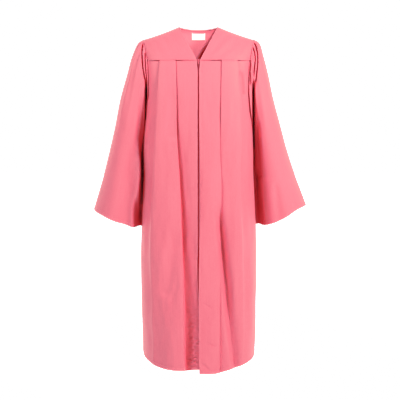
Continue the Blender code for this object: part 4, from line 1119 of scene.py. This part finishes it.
# %% Label and tapes
LABEL_ACROSS, LABEL_TOP, LABEL_BOTTOM = 0.096, 0.075, 0.235
across = np.linspace(-LABEL_ACROSS, LABEL_ACROSS, 33)[None, :]
down = np.linspace(LABEL_TOP, LABEL_BOTTOM, 15)[:, None]
points = back_yoke(across + 0 * down, down + 0 * across)
lift = 0.0005 * np.cos(across / LABEL_ACROSS * math.pi / 2) * np.sin(down * 9)
points = points + np.stack([0 * lift, -lift - 0 * across, 0 * lift], axis=-1)
made, outer, normal = cloth_piece(
    "label_ribbon",
    points,
    "neck_label",
    (0, -1, -0.5),
    thick=0.0005,
    shift=0.0009,
)
cloths["label"] = made
ring = np.concatenate(
    [
        outer[1, 1:-2],
        outer[1:-2, -2],
        outer[-2, -2:0:-1],
        outer[-2:0:-1, 1],
    ]
)
ring_normals = np.concatenate(
    [
        normal[1, 1:-2],
        normal[1:-2, -2],
        normal[-2, -2:0:-1],
        normal[-2:0:-1, 1],
    ]
)
stitched["label"] = [(ring, ring_normals)]

TAPE_FROM, TAPE_TO, TAPE_BEHIND = 0.010, 0.160, 0.0014
rows = np.linspace(YOKE_SEAM_Z - 0.001, ZIP_BOTTOM_Z, 150)
for side, name in ((-1, "left"), (1, "right")):
    columns = np.linspace(TAPE_FROM, TAPE_TO, 6)
    points = half_panel(name, side, columns, rows)
    made, outer, normal = cloth_piece(
        f"zip_tape_{name}_cloth",
        points,
        f"zip_tape_{name}",
        (0, -1, 0),
        thick=0.0007,
        shift=-TAPE_BEHIND,
    )
    cloths[f"tape_{name}"] = made

# %% [markdown]
# ## Zip teeth
# A nylon zip's teeth are the turns of two coils that hook into each other. Each turn is a small
# rounded loop. One turn is made, and copies of it are placed down the zip, left and right in
# turn, as one array.

# %% Zip teeth
TEETH_PITCH = 0.00145
CHAIN_FRONT, CHAIN_BACK, CHAIN_TOP_Z = 0.0003, 0.0023, -0.1275


def zip_line(z):
    """How far forward the middle line of the fronts is at each height."""
    return -curve(z, BODY["z"], BODY["front_depth"])


def tooth():
    """One turn of a coil: a ring of square-like sections carried round half an oval, from the
    tape to the middle of the zip and back. It gives its points and faces."""
    turn = np.linspace(-0.5, 0.5, 7) * math.pi
    middle = np.stack([0.0021 - 0.0024 * np.cos(turn), 0.0007 * np.sin(turn), 0 * turn], axis=-1)
    radius = 0.00033
    away = np.stack([-np.cos(turn), np.sin(turn), 0 * turn], axis=-1)
    up = np.array([0.0, 0.0, 1.0])
    corners = np.array([(1, 0), (0, 1), (-1, 0), (0, -1)]) * radius
    rings = middle[:, None] + corners[None, :, :1] * away[:, None] + corners[None, :, 1:] * up
    index = np.arange(28).reshape(7, 4)
    nxt = np.roll(index, -1, axis=1)
    side = np.stack([index[:-1], nxt[:-1], nxt[1:], index[1:]], axis=-1).reshape(-1, 4)
    caps = np.array([index[0][::-1], index[-1]])
    return rings.reshape(-1, 3), np.concatenate([side, caps])


def copies(points, faces, centres, frames):
    """Copies of one small shape as a single pair of arrays: every point is turned by its copy's
    frame and moved to its copy's centre."""
    placed = np.einsum("vk,nkj->nvj", points, frames) + centres[:, None]
    shift = np.arange(len(centres))[:, None, None] * len(points)
    return placed.reshape(-1, 3), (faces[None] + shift).reshape(-1, faces.shape[1])


points, faces = tooth()
z = np.arange(CHAIN_TOP_Z - 0.001, ZIP_BOTTOM_Z + 0.001, -TEETH_PITCH / 2)
side = np.where(np.arange(len(z)) % 2 == 0, 1.0, -1.0)
depth = (CHAIN_FRONT + CHAIN_BACK) / 2
centres = np.stack([0 * z, zip_line(z) + depth, z], axis=-1)
slope = np.gradient(zip_line(z), z)
up = np.stack([0 * z, slope, 1 + 0 * z], axis=-1)
up /= np.linalg.norm(up, axis=-1, keepdims=True)
right = np.stack([side, 0 * z, 0 * z], axis=-1)
frames = np.stack([right, np.cross(up, right) * side[:, None], up], axis=1)
vertices, quads = copies(points, faces, centres, frames)
flip = np.repeat(side > 0, len(faces))
quads[flip] = quads[flip][:, ::-1]
teeth = new_piece("zip_teeth", new_mesh("zip_teeth", vertices, quads), "zip_chain")
print("teeth:", len(z), "triangles:", 2 * len(quads))

# %% [markdown]
# ## Stitches
# Topstitching is a row of short raised threads. One stitch is a small rounded bar, and copies of
# it follow each sewn line, lying on the cloth. A picture of stitches would be flat up close.

# %% Stitches
STITCH_PITCH, STITCH_LONG, STITCH_WIDE, STITCH_HIGH = 0.0031, 0.0024, 0.00026, 0.00022


def stitch_shape():
    """One stitch along X: four rings of five points, narrow at both ends, bulging up a little
    in the middle."""
    at = np.array([-1.0, -0.72, 0.72, 1.0])
    size = np.array([0.35, 1.0, 1.0, 0.35])
    lift = np.array([-0.5, 0.35, 0.35, -0.5])
    turn = 2 * math.pi * np.arange(5) / 5
    x = np.repeat(at[:, None] * STITCH_LONG / 2, 5, axis=1)
    y = size[:, None] * STITCH_WIDE * np.cos(turn)
    z = (size[:, None] * np.sin(turn) + lift[:, None]) * STITCH_HIGH
    index = np.arange(20).reshape(4, 5)
    nxt = np.roll(index, -1, axis=1)
    side = np.stack([index[:-1], nxt[:-1], nxt[1:], index[1:]], axis=-1).reshape(-1, 4)
    ends = []
    for ring, turned in ((index[0], True), (index[-1], False)):
        four = [ring[[0, 1, 2, 3]], ring[[0, 3, 4, 4]]]
        ends += [quad[::-1] if turned else quad for quad in four]
    return np.stack([x, y, z], axis=-1).reshape(-1, 3), side, ends


def stitch_row(points, normals):
    """Centres and frames of the stitches along one line on the cloth, evenly spaced."""
    step = np.linalg.norm(np.diff(points, axis=0), axis=1)
    length = np.concatenate([[0], np.cumsum(step)])
    at = np.arange(STITCH_PITCH / 2, length[-1], STITCH_PITCH)
    centre = np.stack([np.interp(at, length, points[:, k]) for k in range(3)], axis=-1)
    normal = np.stack([np.interp(at, length, normals[:, k]) for k in range(3)], axis=-1)
    normal /= np.linalg.norm(normal, axis=-1, keepdims=True)
    ahead = np.gradient(centre, axis=0)
    ahead -= (ahead * normal).sum(axis=-1, keepdims=True) * normal
    ahead /= np.linalg.norm(ahead, axis=-1, keepdims=True)
    frames = np.stack([ahead, np.cross(normal, ahead), normal], axis=1)
    return centre + normal * 0.0001, frames


shape, side_faces, end_faces = stitch_shape()
threads = {}
total = 0
for name, lines in stitched.items():
    rows = [stitch_row(points, normals) for points, normals in lines]
    centres = np.concatenate([row[0] for row in rows])
    frames = np.concatenate([row[1] for row in rows])
    quads = np.concatenate([side_faces, np.array([end_faces[0], end_faces[2]])])
    tris = np.array([end_faces[1][:3] if len(set(end_faces[1][:3])) == 3 else end_faces[1][1:],
                     end_faces[3][:3]])
    vertices, quads = copies(shape, quads, centres, frames)
    _, tris = copies(shape, tris, centres, frames)
    mesh = bpy.data.meshes.new(f"{name}_stitches")
    mesh.from_pydata(vertices.tolist(), [], quads.tolist() + tris.tolist())
    slot = "white_label" if name == "label" else "coral_cloth"
    threads[name] = new_piece(f"{name}_stitches", mesh, None)
    total += len(centres)
print("stitches:", total)

# %% [markdown]
# ## The sheets' flat cuts
# Each cloth piece's flat cut is listed here: its size, how it hangs, what it rests on and its
# area. The area is smaller than width times length where the cut is not a rectangle.

SHEETS = {
    "front_left": ((0.410, 1.205), "hung", ["yoke_left_cloth"], 0.410),
    "front_right": ((0.380, 1.200), "hung", ["yoke_right_cloth"], 0.411),
    "back": ((0.690, 1.140), "hung", ["yoke_back_cloth"], 0.722),
    "yoke_left": ((0.190, 0.165), "hung", ["yoke_back_cloth"], 0.0235),
    "yoke_right": ((0.190, 0.165), "hung", ["yoke_back_cloth"], 0.0235),
    "yoke_back": ((0.420, 0.200), "hung", [], 0.070),
    "sleeve_left": ((0.770, 0.705), "gathered", ["yoke_left_cloth", "back_cloth"], 0.329),
    "sleeve_right": ((0.765, 0.720), "gathered", ["yoke_right_cloth", "back_cloth"], 0.322),
    "label": ((0.053, 0.026), "laid", ["yoke_back_cloth"], None),
    "tape_left": ((0.012, 0.725), "laid", ["front_left_cloth"], None),
    "tape_right": ((0.013, 0.732), "laid", ["front_right_cloth"], None),
}
for name, (flat, held, rests_on, area) in SHEETS.items():
    going = [threads[name]] if name in threads else []
print("sheets:", len(SHEETS))

# %% [markdown]
# ## Writing materials as sums
# Blender's materials are node trees. A wrapper round one socket lets Python write them as plain
# sums: `1 - mask * 0.3` adds the two Math nodes that it needs.

# %% A small language for materials
class Socket:
    """One output in a node tree. Sums on it add Math nodes."""

    def __init__(self, tree, socket):
        self.tree, self.socket = tree, socket

    def math(self, operation, *values, clamp=False):
        """A Math node of this operation on these values or sockets."""
        settings = {"operation": operation, "use_clamp": clamp}
        return add(self.tree, "ShaderNodeMath", settings, dict(enumerate(values)))

    def __add__(self, other):
        return self.math("ADD", self, other)

    def __sub__(self, other):
        return self.math("SUBTRACT", self, other)

    def __rsub__(self, other):
        return self.math("SUBTRACT", other, self)

    def __mul__(self, other):
        return self.math("MULTIPLY", self, other)

    def __truediv__(self, other):
        return self.math("DIVIDE", self, other)

    __radd__ = __add__
    __rmul__ = __mul__


def add(tree, kind, settings=None, values=None, output=0):
    """Adds one node: its settings first, then the values or links of its sockets. It gives the
    chosen output."""
    node = tree.nodes.new(kind)
    for name, value in (settings or {}).items():
        if name == "stops":
            while len(node.color_ramp.elements) < len(value):
                node.color_ramp.elements.new(0.5)
            for element, (place, colour) in zip(node.color_ramp.elements, value):
                element.position, element.color = place, (*colour, 1.0)
        else:
            setattr(node, name, value)
    for name, value in (values or {}).items():
        if isinstance(value, Socket):
            tree.links.new(value.socket, node.inputs[name])
        else:
            node.inputs[name].default_value = value
    return Socket(tree, node.outputs[output])


def mix(tree, share, first, second):
    """A colour between two colours or colour sockets."""
    values = {"Factor": share, "A": first, "B": second}
    values = {k: (*v, 1.0) if isinstance(v, tuple) else v for k, v in values.items()}
    settings = {"data_type": "RGBA"}
    node = tree.nodes.new("ShaderNodeMix")
    node.data_type = settings["data_type"]
    for name, number in (("Factor", 0), ("A", 6), ("B", 7)):
        value = values[name]
        if isinstance(value, Socket):
            tree.links.new(value.socket, node.inputs[number])
        else:
            node.inputs[number].default_value = value
    return Socket(tree, node.outputs[2])


def finish_material(name, constants, linked):
    """A material with one Principled shader: constants set its own sockets, and linked gives
    the sockets that feed it. Both are made by a function that gets the node tree."""
    made = bpy.data.materials.new(name)
    made.use_nodes = True
    tree = made.node_tree
    shader = tree.nodes["Principled BSDF"]
    for socket, value in constants.items():
        shader.inputs[socket].default_value = value
    for socket, link in linked(tree).items():
        tree.links.new(link.socket, shader.inputs[socket])
    return made


def separate(tree, vector):
    """The X and Y of a vector, as two sockets."""
    node = tree.nodes.new("ShaderNodeSeparateXYZ")
    tree.links.new(vector.socket, node.inputs[0])
    return Socket(tree, node.outputs[0]), Socket(tree, node.outputs[1])


print("the material language is ready")

# %% [markdown]
# ## The coral cloth
# The gown is a matte polyester with a faint shine. Its yarns are too fine to see from a step
# away, but they give slight upright streaks and a soft glow at grazing angles, which is the
# sheen. The weave is worked out from the UV map, in metres, so it follows the cloth.

# %% Coral cloth
CORAL = (0.800, 0.140, 0.176)
CORAL_DEEP = (0.690, 0.100, 0.130)
CORAL_PALE = (0.860, 0.200, 0.245)


def cloth_links(tree):
    """The colour, roughness and bump of the coral cloth: upright yarns crossed by weft, streaks
    of slightly thicker yarn, soft handling creases, paler worn edges, and a painted highlight
    on the pleats' pressed edges."""
    place = add(tree, "ShaderNodeUVMap", {"uv_map": "cloth"})
    u, v = separate(tree, place)
    warp = add(tree, "ShaderNodeCombineXYZ", {}, {"X": u * 1500.0, "Y": v * 60.0})
    yarn = add(tree, "ShaderNodeTexNoise", {}, {"Vector": warp, "Scale": 1.0, "Detail": 2.0})
    weft = add(tree, "ShaderNodeCombineXYZ", {}, {"X": u * 90.0, "Y": v * 1300.0})
    cross = add(tree, "ShaderNodeTexNoise", {}, {"Vector": weft, "Scale": 1.0, "Detail": 1.0})
    slub = add(tree, "ShaderNodeCombineXYZ", {}, {"X": u * 260.0, "Y": v * 7.0})
    streak = add(tree, "ShaderNodeTexNoise", {}, {"Vector": slub, "Scale": 1.0, "Detail": 3.0})
    soft = add(tree, "ShaderNodeCombineXYZ", {}, {"X": u * 16.0, "Y": v * 5.0})
    crease = add(tree, "ShaderNodeTexNoise", {}, {"Vector": soft, "Scale": 1.0, "Detail": 3.0})
    worn = add(tree, "ShaderNodeAttribute", {"attribute_name": "worn"}, output=2)

    weave = yarn * 0.6 + cross * 0.4
    shade = (weave - 0.5) * 0.35 + (streak - 0.5) * 0.10 + (crease - 0.5) * 0.08 + 0.5
    tone = add(
        tree,
        "ShaderNodeValToRGB",
        {"stops": [(0.30, CORAL_DEEP), (0.5, CORAL), (0.80, CORAL_PALE)]},
        {"Fac": shade},
    )
    # Paler where the cloth is worn; on the pleats' pressed edges the same paleness is a painted highlight.
    colour = mix(tree, worn * 0.35, tone, CORAL_PALE)
    roughness = 0.60 + (weave - 0.5) * 0.16 - worn * 0.08
    height = yarn * 0.00005 + cross * 0.00004 + streak * 0.00003 + crease * 0.0006
    bump = add(tree, "ShaderNodeBump", {}, {"Height": height, "Strength": 0.55, "Distance": 1.0})
    return {"Base Color": colour, "Roughness": roughness, "Normal": bump}


coral = finish_material(
    "coral_cloth",
    {
        "Specular IOR Level": 0.30,
        "Sheen Weight": 0.12,
        "Sheen Roughness": 0.45,
        "Sheen Tint": (1.0, 0.82, 0.84, 1.0),
    },
    cloth_links,
)
print("coral cloth nodes:", len(coral.node_tree.nodes))

# %% [markdown]
# ## Thread, label, tape, teeth and enamel
# Each small part has its own finish. Thread is a twist of fine fibres. The label is a white
# ribbon with fine ribs across it. The tape has a fishbone weave. The teeth are nylon with a soft
# shine, and the slider and its pull are metal with a coral enamel that has small chips.

# %% The small parts' materials
def thread_links(tree):
    """Thread: a little paler than the cloth, with fine light and dark fibres."""
    place = add(tree, "ShaderNodeTexCoord", {}, output=3)
    fibre = add(tree, "ShaderNodeTexNoise", {}, {"Vector": place, "Scale": 2600.0, "Detail": 2.0})
    colour = mix(tree, fibre, (0.80, 0.12, 0.155), (0.95, 0.22, 0.27))
    bump = add(tree, "ShaderNodeBump", {}, {"Height": fibre, "Strength": 0.3, "Distance": 0.0001})
    return {"Base Color": colour, "Roughness": 0.45 + fibre * 0.2, "Normal": bump}


def label_links(tree):
    """Label: white satin ribbon with fine ribs across it and a faint grey mottle."""
    place = add(tree, "ShaderNodeUVMap", {"uv_map": "cloth"})
    u, v = separate(tree, place)
    rib = (v * 5200.0).math("SINE", v * 5200.0)
    dust = add(tree, "ShaderNodeCombineXYZ", {}, {"X": u * 900.0, "Y": v * 900.0})
    fine = add(tree, "ShaderNodeTexNoise", {}, {"Vector": dust, "Scale": 1.0, "Detail": 2.0})
    colour = mix(tree, fine * 0.5 + rib * 0.1, (0.93, 0.93, 0.93), (0.80, 0.79, 0.79))
    height = rib * 0.00003 + fine * 0.00004
    bump = add(tree, "ShaderNodeBump", {}, {"Height": height, "Strength": 0.5, "Distance": 1.0})
    return {"Base Color": colour, "Roughness": 0.5 + fine * 0.15, "Normal": bump}


def tape_links(tree):
    """Zip tape: a fishbone weave, lines that lean one way and then the other."""
    place = add(tree, "ShaderNodeUVMap", {"uv_map": "cloth"})
    u, v = separate(tree, place)
    zigzag = (u * 500.0).math("PINGPONG", u * 500.0, 1.0)
    line = (v * 4200.0 + zigzag * 3.0).math("SINE", v * 4200.0 + zigzag * 3.0)
    colour = mix(tree, line * 0.35 + 0.5, (0.55, 0.075, 0.10), (0.74, 0.12, 0.155))
    bump = add(
        tree, "ShaderNodeBump", {}, {"Height": line * 0.00005, "Strength": 0.6, "Distance": 1.0}
    )
    return {"Base Color": colour, "Roughness": 0.72 + line * 0.05, "Normal": bump}


def teeth_links(tree):
    """Nylon teeth: deep coral, a little paler where the slider has rubbed them."""
    place = add(tree, "ShaderNodeTexCoord", {}, output=3)
    rub = add(tree, "ShaderNodeTexNoise", {}, {"Vector": place, "Scale": 420.0, "Detail": 2.0})
    colour = mix(tree, rub, (0.46, 0.060, 0.082), (0.66, 0.105, 0.135))
    bump = add(tree, "ShaderNodeBump", {}, {"Height": rub, "Strength": 0.15, "Distance": 0.0002})
    return {"Base Color": colour, "Roughness": 0.34 + rub * 0.16, "Normal": bump}


def enamel_links(tree):
    """Coral enamel on metal: it has a fine orange-peel surface, and small chips where bright
    metal shows."""
    place = add(tree, "ShaderNodeTexCoord", {}, output=3)
    peel = add(tree, "ShaderNodeTexNoise", {}, {"Vector": place, "Scale": 1400.0, "Detail": 2.0})
    chips = add(tree, "ShaderNodeTexNoise", {}, {"Vector": place, "Scale": 900.0, "Detail": 5.0})
    bare = ((chips - 0.68) * 30.0).math("MINIMUM", (chips - 0.68) * 30.0, 1.0)
    bare = bare.math("MAXIMUM", bare, 0.0)
    colour = mix(tree, bare, (0.82, 0.13, 0.165), (0.72, 0.70, 0.69))
    bump = add(tree, "ShaderNodeBump", {}, {"Height": peel, "Strength": 0.12, "Distance": 0.0002})
    return {"Base Color": colour, "Metallic": bare, "Roughness": 0.30 + peel * 0.12, "Normal": bump}


thread = finish_material("coral_thread", {"Sheen Weight": 0.15}, thread_links)
ribbon = finish_material("white_label", {"Sheen Weight": 0.1}, label_links)
tape = finish_material("zip_tape", {"Sheen Weight": 0.1}, tape_links)
nylon = finish_material("zip_coil", {"Specular IOR Level": 0.5}, teeth_links)
enamel = finish_material("coral_enamel", {"Coat Weight": 0.25, "Coat Roughness": 0.2}, enamel_links)


def paint(piece, material):
    """Gives a piece one material, in place of any that it has."""
    piece.data.materials.clear()
    piece.data.materials.append(material)


for name, piece in cloths.items():
    finish = ribbon if name == "label" else tape if name.startswith("tape") else coral
    paint(piece, finish)
for name, piece in threads.items():
    paint(piece, ribbon if name == "label" else thread)
paint(teeth, nylon)
print("materials:", [m.name for m in bpy.data.materials])

# %% [markdown]
# ## Slider and pull
# The slider and its pull are hard, and the plain model already has their shape. They stay as
# they are and get the enamel.

# %% Slider and pull
for name in ("zip_slider", "zip_pull"):
    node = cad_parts[name]
    for slot in node.material_slots:
        slot.material = enamel
    if not node.material_slots:
        node.data.materials.append(enamel)
print("kept from the plain model:", ["zip_slider", "zip_pull"])

# %% [markdown]
# ## Light, floor and camera
# The light is that of a photo studio. A key lamp high on the front right shades the folds, and a
# wider, weaker fill lamp high on the front left softens the shade. A third, small lamp lights
# only the inside of the neck and the label. The surround is dark in front of the gown and bright
# behind it, and the floor glows behind the gown, so that the background is as bright as paper.
# The floor is far below the hem, as if someone wore the gown. The camera stands 2.6 m in front at
# the height of the chest and looks slightly down. A tone curve sets how light every shade comes
# out in the picture.

# %% Surround and lamps
def lamp(name, place, target, size, power, colour=(1.0, 1.0, 1.0)):
    """A square soft lamp at a place, aimed at a target."""
    data = bpy.data.lights.new(name, "AREA")
    data.shape, data.size, data.energy, data.color = "SQUARE", size, power, colour
    made = bpy.data.objects.new(name, data)
    made.location = place
    made.rotation_mode = "QUATERNION"
    made.rotation_quaternion = (Vector(target) - Vector(place)).to_track_quat("-Z", "Y")
    bpy.context.collection.objects.link(made)
    return made


world = bpy.data.worlds.new("studio")
world.use_nodes = True
sky = world.node_tree
direction = add(sky, "ShaderNodeTexCoord")
_, behind = separate(sky, direction)
wall = behind.math("MINIMUM", behind * 4.0 - 0.8, 1.0)
wall = wall.math("MAXIMUM", wall, 0.0)
glow = mix(sky, wall, (0.06, 0.06, 0.06), (1.25, 1.25, 1.25))
sky.links.new(glow.socket, sky.nodes["Background"].inputs["Color"])
bpy.context.scene.world = world
key = lamp("key", (2.35, -1.95, 1.35), (0.0, 0.0, -0.35), 0.8, 144.0)
fill = lamp("fill", (-2.15, -1.65, 1.30), (0.0, 0.0, -0.2), 1.4, 80.0)
neck = lamp("neck", (0.16, -1.3, -0.03), (0.0, 0.06, -0.05), 0.10, 21.0)
inside = bpy.data.collections.new("inside of the neck")
inside.objects.link(cloths["yoke_back"])
inside.objects.link(cloths["label"])
neck.light_linking.receiver_collection = inside
print("lamps:", key.data.energy, fill.data.energy)

# %% Floor
FLOOR_Z = -1.62
corners = np.array([(-8, -8, FLOOR_Z), (8, -8, FLOOR_Z), (8, 8, FLOOR_Z), (-8, 8, FLOOR_Z)])
floor_mesh = new_mesh("floor", corners, np.array([[0, 1, 2, 3]]))
floor = bpy.data.objects.new("floor", floor_mesh)
bpy.context.collection.objects.link(floor)
floor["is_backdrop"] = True


def floor_links(tree):
    """A pale painted floor with hardly any texture."""
    place = add(tree, "ShaderNodeTexCoord", {}, output=3)
    grain = add(tree, "ShaderNodeTexNoise", {}, {"Vector": place, "Scale": 3.0, "Detail": 3.0})
    _, behind = separate(tree, place)
    far = behind.math("MINIMUM", (behind + 0.15) * 2.5, 1.0)
    far = far.math("MAXIMUM", far, 0.0)
    return {
        "Base Color": mix(tree, grain, (0.90, 0.90, 0.90), (0.94, 0.94, 0.94)),
        "Emission Color": mix(tree, far, (0.22, 0.22, 0.22), (1.1, 1.1, 1.1)),
    }


glow = {"Roughness": 0.8, "Emission Strength": 1.0}
paint(floor, finish_material("pale_floor", glow, floor_links))

# %% Camera
TONE_END = 2.0
TONE = (
    (0.060, 0.035),
    (0.115, 0.084),
    (0.155, 0.130),
    (0.200, 0.200),
    (0.270, 0.290),
    (0.360, 0.370),
    (0.600, 0.460),
    (0.800, 0.600),
    (0.915, 0.740),
    (1.000, 0.850),
    (1.080, 0.940),
    (1.180, 0.990),
    (1.240, 1.000),
)
camera_data = bpy.data.cameras.new("camera")
camera_data.sensor_width = 36.0
camera_data.lens = 60.1
camera_data.clip_start, camera_data.clip_end = 0.05, 100.0
camera = bpy.data.objects.new("camera", camera_data)
camera.location = (0.0057, -2.6, -0.216)
camera.rotation_euler = (math.radians(90 - 9.75), 0.0, 0.0)
bpy.context.collection.objects.link(camera)
bpy.context.scene.camera = camera
view = bpy.context.scene.view_settings
view.view_transform = "Standard"
view.use_curve_mapping = True
tone = view.curve_mapping
tone.extend = "HORIZONTAL"
tone.white_level = (TONE_END, TONE_END, TONE_END)
for seen, shown in TONE:
    tone.curves[3].points.new(seen / TONE_END, shown)
tone.update()
print("camera:", [round(v, 3) for v in camera.location])

# %% [markdown]
# ## The last checks
# The dressed gown has to keep the plain model's size, so both boxes are written down and
# compared.

# %% Sizes
visual_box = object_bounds()
for k, axis in enumerate("XYZ"):
    low = visual_box[0][k] - cad_box[0][k]
    high = visual_box[1][k] - cad_box[1][k]
    print(f"{axis}: lower end {low * 1000:+.1f} mm, upper end {high * 1000:+.1f} mm")
